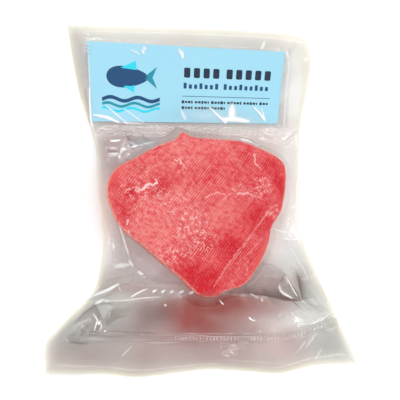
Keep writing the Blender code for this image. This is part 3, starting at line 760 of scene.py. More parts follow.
# Painted shade and painted highlights along the film's folds: points, half width, then greyness (painted shade,
# negative for painted light), pinkness and painted highlight
filmLines = (
    (((-75.5, 54.6), (-66.0, 53.0), (-58.7, 49.9)), 1.17, -0.3, 0.0, 0.95),
    (((-67.0, 61.3), (-52.9, 49.2)), 0.62, -0.2, 0.0, 0.8),
    (((-55.4, 59.9), (-41.8, 50.2)), 0.55, -0.2, 0.0, 0.7),
    (((-58.7, 50.0), (-41.8, 49.6)), 0.55, -0.2, 0.0, 0.6),
    (((-42.6, 103.5), (-42.2, 98.6)), 1.01, -0.2, 0.0, 0.9),
    (((-50.7, 100.6), (-44.8, 97.8)), 0.62, -0.2, 0.0, 0.7),
    (((-17.4, 103.4), (-15.5, 96.6)), 1.09, -0.2, 0.0, 0.95),
    (((-16.5, 60.5), (-13.0, 53.0)), 1.09, -0.1, 0.0, 0.5),
    (((3.8, 62.9), (14.6, 52.3), (17.6, 56.1)), 0.78, -0.2, 0.0, 0.85),
    (((57.8, 106.7), (60.8, 96.6), (59.3, 83.9), (56.2, 51.3)), 0.9, -0.1, 0.0, 0.35),
    (((42.8, 111.8), (42.0, 108.9), (39.8, 105.8)), 0.55, -0.1, 0.0, 0.6),
    (((-78.3, 107.0), (-75.6, 107.6), (-72.9, 107.9)), 0.6, -0.2, 0.0, 0.6),
    (((-82.4, 98.6), (-81.5, 88.1), (-80.6, 79.1)), 0.9, 0.5, 0.3, 0.0),
    (((-81.6, 73.5), (-80.4, 63.9), (-78.1, 50.2)), 0.7, 0.5, 0.5, 0.0),
    (((-78.6, 73.6), (-78.3, 63.9), (-77.3, 50.9), (-75.6, 46.1)), 0.5, -0.3, 0.0, 0.8),
    (((19.6, 65.5), (19.4, 60.0), (18.6, 54.6)), 2.3, -0.2, 0.0, 0.80),
    (((12.5, 55.0), (22.0, 55.0), (31.0, 53.8)), 1.7, -0.2, 0.0, 0.75),
    (((46.4, -21.8), (58.5, -24.0)), 0.62, -0.2, 0.0, 0.6),
    (((52.4, -27.6), (65.7, -28.6)), 0.62, -0.2, 0.0, 0.6),
    (((53.6, -25.2), (66.5, -46.2), (71.2, -55.6)), 0.8, 0.15, 0.0, 0.25),
    (((-80.8, 114.2), (-80.1, 106.8), (-78.0, 65.6), (-76.3, 41.9)), 0.7, -0.1, 0.0, 0.35),
    (((58.7, 105.7), (60.0, 101.7)), 0.55, -0.1, 0.0, 0.7),
    (((-77.5, -69.4), (-68.7, -67.0), (-60.9, -65.0)), 0.7, 0.6, 0.0, 0.0),
    (((-71.6, -70.9), (-68.6, -69.6), (-66.6, -68.3)), 0.75, -0.3, 0.0, 0.75),
    (((-66.6, -68.3), (-65.7, -69.2), (-62.6, -69.6)), 0.5, -0.3, 0.0, 0.6),
    (((-71.6, -72.0), (-68.6, -71.9), (-64.9, -70.6), (-61.7, -71.1), (-58.9, -71.7)), 0.6, 0.6, 0.0, 0.0),
    (((-64.5, -68.7), (-59.4, -69.2), (-52.4, -69.0), (-40.0, -67.4), (-29.0, -66.8)), 0.6, -0.2, 0.0, 0.35),
    (((-86.5, -85.6), (-82.1, -80.3), (-78.6, -76.7), (-75.0, -74.0), (-71.4, -71.8)), 0.6, 0.6, 0.0, 0.0),
    (((-88.0, -83.6), (-83.1, -78.7), (-76.5, -73.0), (-72.0, -69.8)), 0.9, -0.25, 0.0, 0.12),
    (((-62.5, -75.2), (-64.3, -80.7), (-65.3, -84.8)), 0.6, 0.45, 0.0, 0.0),
    (((-64.6, -85.2), (-61.4, -83.9), (-60.6, -82.5), (-57.8, -80.2), (-52.3, -78.9)), 0.55, 0.45, 0.0, 0.0),
    (((-72.8, -77.7), (-71.2, -79.5), (-69.8, -82.0), (-71.1, -85.2), (-71.7, -87.9)), 0.34, -0.4, 0.0, 0.8),
    (((-68.7, -82.8), (-69.1, -84.3)), 0.65, -0.4, 0.0, 1.0),
    (((-68.6, -83.0), (-67.4, -84.6), (-67.6, -86.6), (-68.9, -87.6)), 0.3, -0.3, 0.0, 0.7),
    (((-65.4, -88.3), (-64.5, -89.0)), 0.45, -0.3, 0.0, 0.85),
    (((-75.0, -82.4), (-74.8, -80.2)), 1.3, -0.2, 0.0, 0.14),
    (((-86.3, -94.8), (-81.7, -96.0), (-75.4, -96.4)), 0.6, 0.6, 0.0, 0.0),
    (((-75.1, -89.9), (-68.2, -89.8), (-61.4, -88.9), (-52.1, -89.4), (-30.0, -89.8)), 0.45, 0.45, 0.1, 0.0),
    (((-74.6, -90.6), (-68.2, -91.4), (-61.3, -92.1), (-52.1, -91.7)), 0.45, 0.40, 0.0, 0.0),
    (((-42.4, -91.2), (-20.5, -91.6), (-3.9, -91.8), (7.2, -92.8), (37.7, -93.0)), 0.4, -0.2, 0.0, 0.16),
    (((-42.3, -96.2), (-29.2, -96.5), (-16.6, -96.1)), 0.4, -0.2, 0.0, 0.2),
    (((37.7, -96.8), (49.5, -96.0), (61.4, -94.4), (71.4, -92.0), (77.4, -89.8)), 0.4, -0.2, 0.0, 0.2),
    (((-54.2, -104.9), (-51.0, -101.7), (-47.8, -98.6)), 0.4, -0.2, 0.0, 0.4),
    (((63.7, -102.2), (68.3, -96.6)), 0.4, -0.2, 0.0, 0.5),
    (((69.2, -100.4), (72.3, -95.7), (75.4, -91.4)), 0.45, -0.2, 0.0, 0.5),
    (((75.4, -108.9), (77.0, -104.7), (79.6, -101.0)), 0.45, -0.2, 0.0, 0.45),
    (((60.1, -105.4), (63.2, -102.7)), 0.4, -0.1, 0.0, 0.3),
    (((71.5, -85.0), (75.6, -84.2), (82.7, -80.7)), 0.6, -0.3, 0.0, 0.5),
    (((47.2, -85.5), (49.7, -80.8), (54.3, -76.6)), 0.6, -0.3, 0.0, 0.22),
    (((48.2, -86.5), (55.7, -81.3), (63.7, -77.1)), 0.6, -0.3, 0.0, 0.25),
    (((80.4, -92.4), (74.1, -100.9), (72.0, -108.4)), 1.6, -0.2, 0.3, 0.06),
    (((10.1, -69.4), (13.0, -71.8)), 0.4, -0.2, 0.0, 0.55),
    (((30.5, -80.4), (31.6, -81.8)), 0.7, -0.3, 0.0, 0.9),
    (((31.6, -81.8), (34.4, -82.8)), 0.5, -0.3, 0.0, 0.7),
    (((-26.6, -71.2), (-26.0, -72.5), (-25.0, -71.8)), 0.35, -0.2, 0.0, 0.5),
    (((-76.5, -67.2), (-68.7, -64.3), (-63.5, -62.2), (-59.8, -60.0), (-57.0, -58.4)), 0.95, -0.4, 0.0, 0.8),
    (((-57.0, -59.4), (-55.5, -62.6)), 0.35, -0.2, 0.0, 0.4),
    (((-59.8, -12.0), (-57.2, -21.6), (-54.4, -28.9), (-52.0, -36.8), (-49.6, -44.6), (-46.8, -49.0)), 0.42, -0.4, 0.2, 0.6),
    (((-58.6, -13.0), (-56.0, -20.6), (-54.0, -25.6), (-51.0, -33.5), (-47.8, -44.2), (-44.5, -48.5)), 0.75, 0.30, 1.2, 0.0),
    (((-60.6, -14.0), (-58.4, -21.8), (-55.6, -29.2), (-53.2, -37.0), (-50.8, -44.4)), 0.6, 0.30, 0.5, 0.0),
    (((-44.5, -48.8), (-39.7, -52.8), (-36.3, -54.9), (-29.7, -56.5), (-23.1, -57.2), (-12.5, -58.0)), 0.95, 0.45, 1.0, 0.0),
    (((-44.6, -49.9), (-40.3, -53.8)), 0.5, -0.5, 0.0, 0.75),
    (((-59.6, -46.8), (-54.8, -46.4), (-50.4, -45.9)), 1.5, -0.4, 0.0, 0.42),
    (((-59.3, -49.5), (-54.0, -48.9), (-48.9, -48.2)), 0.7, 0.40, 0.0, 0.0),
    (((-65.0, -56.4), (-57.3, -54.5), (-47.5, -52.5)), 0.9, 0.35, 0.1, 0.0),
    (((-47.4, -50.5), (-47.0, -55.7), (-50.1, -58.4), (-55.9, -59.0)), 0.45, 0.35, 0.2, 0.0),
    (((-62.3, -26.0), (-60.9, -38.2), (-60.3, -46.0)), 0.5, 0.28, 0.1, 0.0),
    (((-48.6, -66.8), (-45.4, -64.8), (-42.8, -63.5), (-38.2, -61.6)), 0.6, -0.4, 0.0, 0.75),
    (((37.7, -45.4), (42.1, -44.9), (47.0, -45.6), (50.5, -47.5), (53.6, -50.3)), 0.5, 0.40, 0.2, 0.0),
    (((12.0, -63.7), (30.0, -64.8), (41.8, -66.3), (49.2, -67.8), (54.6, -69.0), (60.5, -69.7), (66.6, -69.4)),
     0.55, 1.0, 0.8, 0.0),
    (((50.7, -57.6), (49.8, -60.2), (51.2, -62.5), (53.7, -64.5), (56.6, -66.1), (59.8, -67.6)), 0.8, -2.5, 0.0, 1.0),
    (((54.8, -53.7), (56.8, -56.8), (59.2, -60.4), (61.6, -63.7), (63.4, -66.3)), 0.45, -2.0, 0.0, 0.95),
    (((54.6, -51.0), (56.8, -55.1), (59.7, -59.4), (62.6, -63.3), (65.0, -67.1), (66.6, -69.2)), 0.5, 2.0, 0.1, 0.0),
    (((54.1, -51.2), (51.4, -55.6), (50.0, -58.6)), 0.45, 0.55, 0.1, 0.0),
    (((55.2, -56.0), (55.9, -58.0)), 0.5, -0.3, 0.0, 0.4),
    (((49.0, -51.8), (44.5, -53.8)), 1.5, -0.2, -0.4, 0.12),
    (((62.5, -49.8), (64.3, -54.6), (66.1, -62.3), (67.0, -68.0)), 0.42, 1.0, 0.1, 0.0),
    (((31.8, -64.9), (36.9, -67.8)), 0.42, -0.4, 0.0, 0.5),
    (((38.6, -67.5), (39.8, -69.9)), 0.42, -0.4, 0.0, 0.55),
    (((35.0, 64.4), (38.9, 60.3), (43.0, 54.5)), 0.8, -0.2, 0.0, 0.9),
    (((39.8, 64.5), (41.6, 59.8), (43.0, 54.5)), 0.5, -0.2, 0.0, 0.85),
    (((24.0, 39.2), (28.3, 39.0), (32.4, 37.4)), 1.7, -0.6, 0.0, 1.0),
    (((33.3, 36.0), (35.5, 34.7)), 0.6, -0.3, 0.0, 0.85),
    (((21.0, 42.4), (28.2, 41.7), (32.7, 40.4), (35.6, 37.2), (39.5, 31.6)), 0.5, 0.55, 0.3, 0.0),
    (((54.1, 39.9), (63.2, 46.2), (68.1, 50.0)), 0.55, 0.60, 0.0, 0.0),
    (((53.4, 36.3), (58.3, 39.5), (63.1, 42.0)), 0.5, 0.35, 0.0, 0.0),
    (((60.9, 48.5), (66.9, 49.9)), 1.2, -0.2, 0.0, 0.30),
    (((-63.9, 36.2), (-60.6, 36.3), (-57.4, 36.8)), 0.75, -0.4, 0.0, 0.85),
    (((-54.0, 37.0), (-55.4, 32.6), (-56.6, 28.2)), 1.4, -0.8, 0.1, 0.26),
    (((-52.2, 35.0), (-51.6, 31.0), (-51.6, 27.2)), 1.1, -0.8, 0.1, 0.24),
    (((-51.4, 36.2), (-48.6, 33.8), (-46.4, 32.0)), 1.0, -0.8, 0.0, 0.26),
    (((-57.4, 26.4), (-56.6, 23.0), (-57.6, 20.0)), 1.4, -0.7, 0.1, 0.22),
    (((-53.4, 26.6), (-53.2, 23.0)), 1.6, -0.7, 0.1, 0.20),
    (((-53.3, 37.2), (-53.5, 32.0), (-53.9, 27.6)), 0.3, 0.9, 0.3, 0.0),
    (((-53.0, 37.6), (-51.2, 34.0), (-49.9, 30.4)), 0.35, 1.4, 0.1, 0.0),
    (((-60.7, 40.7), (-56.9, 41.1)), 0.4, 0.35, 0.5, 0.0),
    (((-53.2, 39.4), (-55.0, 35.4), (-57.3, 31.0)), 0.35, 0.35, 0.4, 0.0),
    (((-52.9, 40.6), (-51.1, 36.2), (-49.9, 33.0), (-47.5, 32.8)), 0.45, 0.9, 0.2, 0.0),
    (((-56.2, 29.9), (-53.7, 30.0)), 0.8, -0.4, 0.0, 0.9),
    (((-66.4, 30.3), (-64.3, 28.8), (-58.6, 28.5)), 0.45, 0.9, 0.1, 0.0),
    (((-64.7, 27.4), (-58.1, 27.5)), 0.45, -0.3, 0.0, 0.8),
    (((-65.2, 25.9), (-58.1, 26.3)), 0.4, -0.2, 0.0, 0.45),
    (((-58.4, 25.0), (-57.2, 25.0)), 0.7, -0.3, 0.0, 0.85),
    (((-52.6, 26.4), (-51.4, 25.7)), 0.5, -0.3, 0.0, 0.75),
    (((-49.6, 31.3), (-45.8, 32.2)), 0.75, -0.5, 0.0, 0.9),
    (((-44.6, 31.9), (-43.0, 33.3)), 0.5, -0.4, 0.0, 0.75),
    (((-42.4, 32.4), (-40.4, 34.2)), 0.5, -0.4, 0.0, 0.8),
    (((-40.2, 33.0), (-38.2, 34.8)), 0.5, -0.4, 0.0, 0.7),
    (((-38.0, 34.0), (-35.6, 35.2)), 0.45, -0.4, 0.0, 0.6),
    (((-59.2, 25.7), (-58.5, 21.8)), 0.6, 0.3, 1.0, 0.0),
    (((-49.1, 29.4), (-46.7, 27.0)), 0.5, 0.5, 0.1, 0.0),
)
# The flap bends away from the main panel along this line, with painted shade at the bend
flapFold = {
    "line": ((-100.0, -76.0), (-84.0, -70.5), (-72.2, -69.4), (-32.0, -67.2), (0.0, -66.0), (17.0, -64.8),
             (42.6, -66.6), (66.8, -69.6), (84.0, -72.5), (100.0, -78.0)),
    "run": 1.6, "grey": 0.34, "edgeGrey": 0.22, "fade": 7.0,
}
pocketTone = {"centre": (-44.0, -44.0), "reach": (26.0, 24.0), "edge": 1.0, "grey": 0.22, "pink": 0.14}
# Painted reflection of the red steak in the film below the steak's tip
steakReflectionPools = {
    "strong": ((-7.0, -75.0), (20.0, 11.0), 1.0), "right": ((25.0, -71.5), (18.0, 9.0), 0.88),
    "low": ((4.0, -88.0), (24.0, 8.0), 0.62),
}
steakReflectionTop = ((-34.0, -72.0), (-27.0, -68.2), (-15.0, -66.4), (-9.0, -63.5), (0.0, -64.0), (20.0, -65.0), (40.0, -67.0))
edgeFade = 4.4
baseGrey = 0.38


def zone(x, y, centre, reach):
    dx, dy = (x - centre[0] * mm) / (reach[0] * mm), (y - centre[1] * mm) / (reach[1] * mm)
    return np.exp(-(dx**2 + dy**2))


def paintFilm(obj):
    x, y, z = readPlaces(obj).T
    tones = [np.full(len(x), baseGrey), np.full(len(x), 0.1), np.zeros(len(x))]
    for centre, reach, *changes in filmZones.values():
        near = zone(x, y, centre, reach)
        for tone, change in zip(tones, changes):
            tone += change * near
    # painted shade along the flap's bend, fading away from it
    foldX, foldY = np.array(flapFold["line"]).T * mm
    belowFold = np.interp(x, foldX, foldY) - y
    flap = smoothStep(belowFold / (flapFold["run"] * mm))
    tones[0] += flap * (flapFold["grey"] + (flapFold["edgeGrey"] * np.exp(-belowFold / (flapFold["fade"] * mm))))
    tones[0] += (0.04 + 0.10 * flap) * roughness(x, y, 22.0, 11.0, 4)
    tones[1] += 0.15 * roughness(x, y, 26.0, 13.0, 3)
    inPocket = smoothStep(-outsidePocket(x, y) / (pocketTone["edge"] * mm))
    inPocket = inPocket * zone(x, y, pocketTone["centre"], pocketTone["reach"])
    tones[0] += pocketTone["grey"] * inPocket
    tones[1] += pocketTone["pink"] * inPocket
    # painted shade and light on the faces of the folds, and a greyer strip beside the card
    tones[0] += sum(fold["strength"] * softFaces(x, y, fold, 3) for fold in (pleat, tent, gather, besideCard))
    tones[0] += 0.5 * crumpleReach(x, y) * roughness(x, y, crumple["size"], 3.0)
    inBand, atEdge = sealPlaces(x, y)
    tones[0] += 0.10 * inBand + 0.22 * atEdge
    fromEdge = -outsideOf(pouchOutline()[::4], x, y)
    kept = smoothStep((fromEdge + 0.3 * mm) / (edgeFade * mm))
    tones[0] *= kept
    tones[1] *= kept
    front = z > filmUnder(x, y) + 0.05 * mm
    for points, width, *changes in filmLines:
        away, share = toPolyline(x, y, points, 1.7 * width * mm)
        thick = width * mm * (0.5 + 0.7 * np.sqrt(hump(2.0 * share - 1.0)))
        near = smoothStep(1.35 - away / thick) * front
        for tone, change in zip(tones, changes):
            tone += change * near
    # each bead gets a painted highlight and painted shade just beside it
    for bead in beadPlaces():
        tones[0] += 0.8 * front * beadShape(x - 1.2 * mm, y + 1.3 * mm, bead)
        tones[2] += 0.95 * front * np.sqrt(beadShape(x, y, bead))
    grey, pink, paintedHighlight = tones
    onSteak = smoothStep(0.5 - outsideOf(steakCurve, x, y) / (1.2 * mm)) * (z > 14.0 * mm)
    overCard = onCard(x, y, 1.0)
    cling = np.maximum(onSteak, 0.8 * overCard)
    # painted reflection of the red steak in the film below its tip
    steakReflectionX, steakReflectionY = np.array(steakReflectionTop).T * mm
    red = sum(amount * zone(x, y, centre, reach) for centre, reach, amount in steakReflectionPools.values())
    red = red * (1.0 + 0.35 * roughness(x, y, 15.0, 15.0, 3))
    red = red * smoothStep((np.interp(x, steakReflectionX, steakReflectionY) - y) / (1.5 * mm))
    setAttribute(obj, "grey", np.clip(grey, 0.0, 3.0) * (1.0 - cling))
    setAttribute(obj, "pink", np.clip(pink, 0.0, 1.2) * (1.0 - cling))
    setAttribute(obj, "paintedHighlight", np.clip(paintedHighlight, 0.0, 1.0) * (1.0 - onSteak))
    setAttribute(obj, "steakReflection", np.clip(red, 0.0, 1.2))
    setAttribute(obj, "cling", cling)
    setAttribute(obj, "tight", np.maximum(onSteak, overCard))
    setAttribute(obj, "seal", inBand)
    setAttribute(obj, "fringe", smoothStep(1.0 - fromEdge / (edgeFade * mm)))
    cool = sum(amount * zone(x, y, centre, reach) for centre, reach, amount in coolZones)
    setAttribute(obj, "cool", np.clip(cool, 0.0, 1.5) * (1.0 - cling))
    ribs = zone(x, y, (-91.0, 92.0), (9.0, 32.0)) + zone(x, y, (78.0, -64.0), (9.0, 14.0))
    setAttribute(obj, "ribs", np.clip(ribs, 0.0, 1.0))
    grain = zone(x, y, (0.0, 46.0), (60.0, 6.0)) + zone(x, y, (-79.0, -90.0), (10.0, 6.0))
    setAttribute(obj, "grain", np.clip(grain, 0.0, 1.0))


def makeFilmMaterial():
    made = bpy.data.materials.new("clear film")
    made.use_nodes = True
    made.diffuse_color = (0.82, 0.81, 0.79, 0.35)
    nodes, links = made.node_tree.nodes, made.node_tree.links
    nodes.clear()
    out = addNode(nodes, "ShaderNodeOutputMaterial")
    place = objectPlace(nodes, links)
    cling = attributeNode(nodes, "cling")
    loose = mathNode(nodes, links, "SUBTRACT", 1.0, cling, True)

    tint = mixColour(nodes, links, attributeNode(nodes, "grey"), (0.985, 0.985, 0.982), (0.850, 0.848, 0.835))
    tint = mixColour(nodes, links, attributeNode(nodes, "pink"), tint, (0.985, 0.90, 0.897), "MULTIPLY")
    # painted reflection of the steak: a red tint in the film
    tint = mixColour(nodes, links, attributeNode(nodes, "steakReflection"), tint, (0.87, 0.585, 0.56))
    # painted shade in deep folds: the greyest film turns dark brown
    foldShade = rampNode(nodes, links, attributeNode(nodes, "grey"), 0.9, 2.6)
    tint = mixColour(nodes, links, foldShade, tint, (0.38, 0.265, 0.240))
    tint = mixColour(nodes, links, attributeNode(nodes, "fringe"), tint, (0.997, 0.985, 0.930), "MULTIPLY")
    tint = mixColour(nodes, links, attributeNode(nodes, "cool"), tint, (0.975, 0.980, 1.0), "MULTIPLY")
    warm = rampNode(nodes, links, noiseNode(nodes, links, 45.0, 2.0, place), 0.40, 0.62)
    tint = mixColour(nodes, links, mathNode(nodes, links, "MULTIPLY", warm, loose), tint, (0.998, 0.996, 0.987), "MULTIPLY")
    uneven = rampNode(nodes, links, noiseNode(nodes, links, 60.0, 3.0, place), 0.35, 0.75)
    uneven = mathNode(nodes, links, "MULTIPLY", uneven, loose)
    tint = mixColour(nodes, links, uneven, tint, (0.985, 0.983, 0.98), "MULTIPLY")
    facing = addNode(nodes, "ShaderNodeLayerWeight")
    facing.inputs["Blend"].default_value = 0.5
    steep = rampNode(nodes, links, facing.outputs["Facing"], 0.15, 1.0)
    steep = mathNode(nodes, links, "MULTIPLY", steep, loose)
    tint = mixColour(nodes, links, steep, tint, (0.925, 0.915, 0.91), "MULTIPLY")

    # embossed ribs near two edges and across the seal, granular film below the card, fine unevenness
    ribs = bandNode(nodes, links, objectPlace(nodes, links, math.radians(-38.0)), 1.8, 0.6)
    ribs = mathNode(nodes, links, "MULTIPLY", ribs, attributeNode(nodes, "ribs"))
    crimps = bandNode(nodes, links, objectPlace(nodes, links, math.radians(90.0)), 2.3, 0.2)
    crimps = mathNode(nodes, links, "MULTIPLY", crimps, attributeNode(nodes, "seal"))
    ribs = mathNode(nodes, links, "MAXIMUM", ribs, crimps)
    tint = mixColour(nodes, links, ribs, tint, (0.93, 0.93, 0.925), "MULTIPLY")
    grain = noiseNode(nodes, links, 620.0, 2.0, place, 0.6)
    grain = mathNode(nodes, links, "MULTIPLY", grain, attributeNode(nodes, "grain"))
    tint = mixColour(nodes, links, rampNode(nodes, links, grain, 0.40, 0.62), tint, (0.93, 0.925, 0.92), "MULTIPLY")
    fine = mathNode(nodes, links, "MULTIPLY", noiseNode(nodes, links, 230.0, 3.0, place), loose)
    normal = bumpNode(nodes, links, fine, 0.35, 0.4)
    normal = bumpNode(nodes, links, grain, 0.8, 0.5, normal)
    normal = bumpNode(nodes, links, ribs, 0.6, 0.3, normal)

    clear = addNode(nodes, "ShaderNodeBsdfTransparent")
    links.new(tint, clear.inputs["Color"])
    haze = addNode(nodes, "ShaderNodeBsdfDiffuse")
    paintedHighlight = attributeNode(nodes, "paintedHighlight")
    scatter = mixColour(nodes, links, attributeNode(nodes, "pink"), (0.60, 0.595, 0.57), (0.60, 0.50, 0.49))
    scatter = mixColour(nodes, links, foldShade, scatter, (0.20, 0.115, 0.095))
    scatter = mixColour(nodes, links, attributeNode(nodes, "steakReflection"), scatter, (0.42, 0.07, 0.055))
    # painted highlights turn the haze nearly white
    scatter = mixColour(nodes, links, rampNode(nodes, links, paintedHighlight, 0.0, 0.4), scatter, (0.97, 0.97, 0.965))
    links.new(scatter, haze.inputs["Color"])
    links.new(normal, haze.inputs["Normal"])
    body = addNode(nodes, "ShaderNodeMixShader")
    greyHaze = mathNode(nodes, links, "MULTIPLY", attributeNode(nodes, "grey"), 0.22)
    steakReflectionHaze = mathNode(nodes, links, "MULTIPLY", attributeNode(nodes, "steakReflection"), 0.25)
    hazeAmount = mathNode(nodes, links, "ADD", greyHaze, steakReflectionHaze)
    hazeAmount = mathNode(nodes, links, "ADD", hazeAmount, paintedHighlight, True)
    links.new(hazeAmount, body.inputs[0])
    links.new(clear.outputs[0], body.inputs[1])
    links.new(haze.outputs[0], body.inputs[2])
    gloss = addNode(nodes, "ShaderNodeBsdfGlossy")
    gloss.inputs["Color"].default_value = (1.0, 1.0, 1.0, 1.0)
    gloss.inputs["Roughness"].default_value = 0.08
    links.new(normal, gloss.inputs["Normal"])
    shine = mathNode(nodes, links, "POWER", facing.outputs["Facing"], 4.0)
    shine = mathNode(nodes, links, "MULTIPLY_ADD", shine, 0.6)
    shine.node.inputs[2].default_value = 0.065
    dull = mathNode(nodes, links, "MULTIPLY_ADD", attributeNode(nodes, "tight"), -0.88)
    dull.node.inputs[2].default_value = 1.0
    shine = mathNode(nodes, links, "MULTIPLY", shine, dull)
    surface = addNode(nodes, "ShaderNodeMixShader")
    links.new(shine, surface.inputs[0])
    links.new(body.outputs[0], surface.inputs[1])
    links.new(gloss.outputs[0], surface.inputs[2])
    links.new(surface.outputs[0], out.inputs["Surface"])
    return made


# ---------- steak ----------
steak = {
    "segments": 420,
    "topSteps": 96,
    "rimSteps": 22,
    "lowerSteps": 34,
    "sawTurn": 56.0,        # degrees, the way the saw lines run
    "sawPitch": 1.45,
    "sawDepth": 0.08,
    "raggedness": 0.7,      # how far the outline wanders in from its smooth curve
}
# Zones on the sawn face: centre, reach, amount
deepZones = (
    ((-4.5, -56.0), (7.5, 7.5), 1.9), ((-10.0, -51.0), (6.0, 4.5), 0.7), ((2.0, -62.0), (5.0, 3.0), 0.5),
    ((-62.0, 3.0), (4.0, 5.0), 0.9), ((-50.0, -1.0), (5.0, 9.0), 0.7), ((-54.0, -14.0), (4.0, 6.5), 0.9),
    ((-58.0, -6.0), (4.0, 6.0), 0.5), ((-45.0, 16.0), (7.0, 4.0), 0.5), ((-30.0, 15.0), (6.0, 7.0), 0.35),
    ((37.0, 12.0), (6.0, 7.0), 0.6), ((46.0, 9.0), (4.0, 10.0), 0.6), ((24.0, 18.0), (7.0, 8.0), 0.5),
    ((40.0, 20.0), (7.0, 4.0), 0.4), ((18.0, 27.0), (5.0, 5.0), 0.35), ((40.0, -4.0), (6.0, 6.0), 0.4),
    ((30.0, -13.0), (8.0, 9.0), 0.45), ((15.0, -34.0), (10.0, 8.0), 1.0), ((34.0, -20.0), (7.0, 8.0), 1.0), ((-1.0, -34.0), (6.0, 6.0), 0.5),
    ((-31.0, 4.0), (10.0, 7.0), 0.8), ((50.0, 6.0), (5.0, 16.0), 0.45), ((26.0, 4.0), (8.0, 6.0), 0.3), ((-16.0, -50.0), (7.0, 7.0), 0.6),
    ((33.0, -30.0), (6.0, 12.0), 0.45), ((10.0, -50.0), (7.0, 6.0), 0.4),
)
paleZones = (
    ((-36.0, -26.0), (13.0, 12.0), 1.0), ((7.0, -12.0), (14.0, 10.0), 0.75), ((-17.0, -4.0), (13.0, 9.0), 0.32),
    ((-4.0, 32.0), (14.0, 4.0), 0.6), ((-12.0, -20.0), (12.0, 12.0), 0.5), ((10.0, 8.0), (12.0, 8.0), 0.3),
    ((-20.0, 30.0), (8.0, 5.0), 0.3), ((-55.0, 17.0), (9.0, 7.0), 0.8), ((38.6, -36.0), (3.6, 11.0), 1.6),
)
# Whitish connective threads and frost: chains of points, half width, amount
frostLines = (
    (((-43.5, 1.0), (-42.1, 2.2), (-41.4, 3.6), (-40.3, 4.7), (-38.2, 5.2), (-36.5, 4.4), (-34.0, 5.7),
      (-34.5, 7.8)), 0.75, 1.0),
    (((-40.8, 3.0), (-39.0, 2.6)), 0.6, 0.8),
    (((-46.5, 2.9), (-44.8, 1.3), (-45.2, -0.6)), 0.45, 0.8),
    (((-45.6, -3.0), (-43.1, -3.3), (-41.0, -5.0)), 0.35, 0.6),
    (((-22.8, 21.8), (-21.1, 20.5), (-19.0, 21.9), (-17.7, 18.9)), 0.45, 0.85),
    (((-19.4, 23.6), (-17.6, 22.8)), 0.35, 0.6),
    (((-18.4, 19.4), (-16.8, 18.2), (-16.0, 16.8), (-14.6, 15.6)), 0.35, 0.6),
    (((31.4, 27.4), (30.6, 25.6), (31.2, 23.3), (30.4, 21.6), (31.6, 19.8)), 0.42, 0.85),
    (((31.6, 20.0), (33.9, 18.1), (35.2, 16.2)), 0.35, 0.6),
    (((-2.0, -2.6), (2.5, -1.1), (4.2, 0.4), (6.0, 0.6), (8.0, -0.6), (9.8, -0.1)), 0.35, 0.6),
    (((9.8, -0.1), (11.5, -1.8), (13.5, -0.6), (15.9, 0.0)), 0.35, 0.5),
    (((18.5, -0.4), (20.2, 0.5), (23.0, -0.2), (26.2, 0.6), (27.6, -0.5)), 0.42, 0.8),
    (((11.5, -1.8), (8.9, -5.3), (5.5, -8.3)), 0.3, 0.30),
    (((15.0, 3.0), (17.2, 1.7)), 0.35, 0.5),
    (((19.3, 4.8), (22.0, 6.1)), 0.35, 0.5),
    (((-51.8, -18.5), (-52.8, -20.8)), 0.6, 1.0),
    (((-51.4, -24.8), (-51.0, -26.5)), 0.45, 0.7),
    (((3.1, -59.9), (14.1, -43.7), (19.3, -37.4), (33.2, -19.5), (41.2, -9.1)), 0.26, 0.50),
    (((15.6, -43.6), (20.6, -37.6), (29.0, -26.8)), 0.3, 0.35),
    (((17.5, -45.4), (27.8, -36.9), (35.3, -29.3)), 0.3, 0.18),
    (((11.7, 31.5), (22.0, 16.1)), 0.8, 0.12),
    (((14.2, 31.0), (24.0, 15.6)), 0.4, 0.12),
)
frostPatches = (
    ((35.0, 5.6), (6.0, 5.5), 1.0), ((-10.4, -21.8), (11.0, 9.5), 1.0), ((-49.0, 0.5), (8.0, 4.5), 0.85),
    ((-25.0, -39.0), (8.0, 7.0), 0.75), ((-20.0, -8.0), (10.0, 9.0), 0.6), ((-33.0, -4.0), (8.0, 8.0), 0.4),
    ((-40.0, 12.0), (10.0, 8.0), 0.45), ((26.0, 0.0), (9.0, 5.0), 0.35), ((-2.0, -33.0), (6.0, 6.0), 0.5),
    ((44.0, -12.0), (5.0, 5.0), 0.6), ((-16.0, 19.0), (9.0, 6.0), 0.4), ((24.0, -48.0), (5.0, 6.0), 0.35),
    ((-45.0, -12.0), (8.0, 9.0), 0.4), ((-15.0, -36.0), (9.0, 5.0), 0.5),
)


def sawFan(x, y):
    # how many saw pitches a place lies across the cut; the lines wander a little
    turn = math.radians(steak["sawTurn"])
    across = -math.sin(turn) * x + math.cos(turn) * y
    along = math.cos(turn) * x + math.sin(turn) * y
    wander = 1.6 * mm * np.sin(along / (38.0 * mm) + 0.4) + roughness(x, y, 26.0, 21.0, 2) * 0.6 * mm
    return (across + wander) / (steak["sawPitch"] * mm)


def steakSurface(x, y, out):
    # unevenness of the sawn face, in metres: a slow swell and the grooves of the saw, below the film
    strength = 0.5 + 0.5 * roughness(x, y, 9.0, 23.0, 2)
    saw = (np.cos(2.0 * math.pi * sawFan(x, y)) - 1.0) * steak["sawDepth"] * mm * strength
    swell = (roughness(x, y, 24.0, 25.0, 3) - 1.2) * 0.3 * mm
    fade = smoothStep((0.97 - out) / 0.12)
    return np.minimum(saw + swell, 0.0) * fade


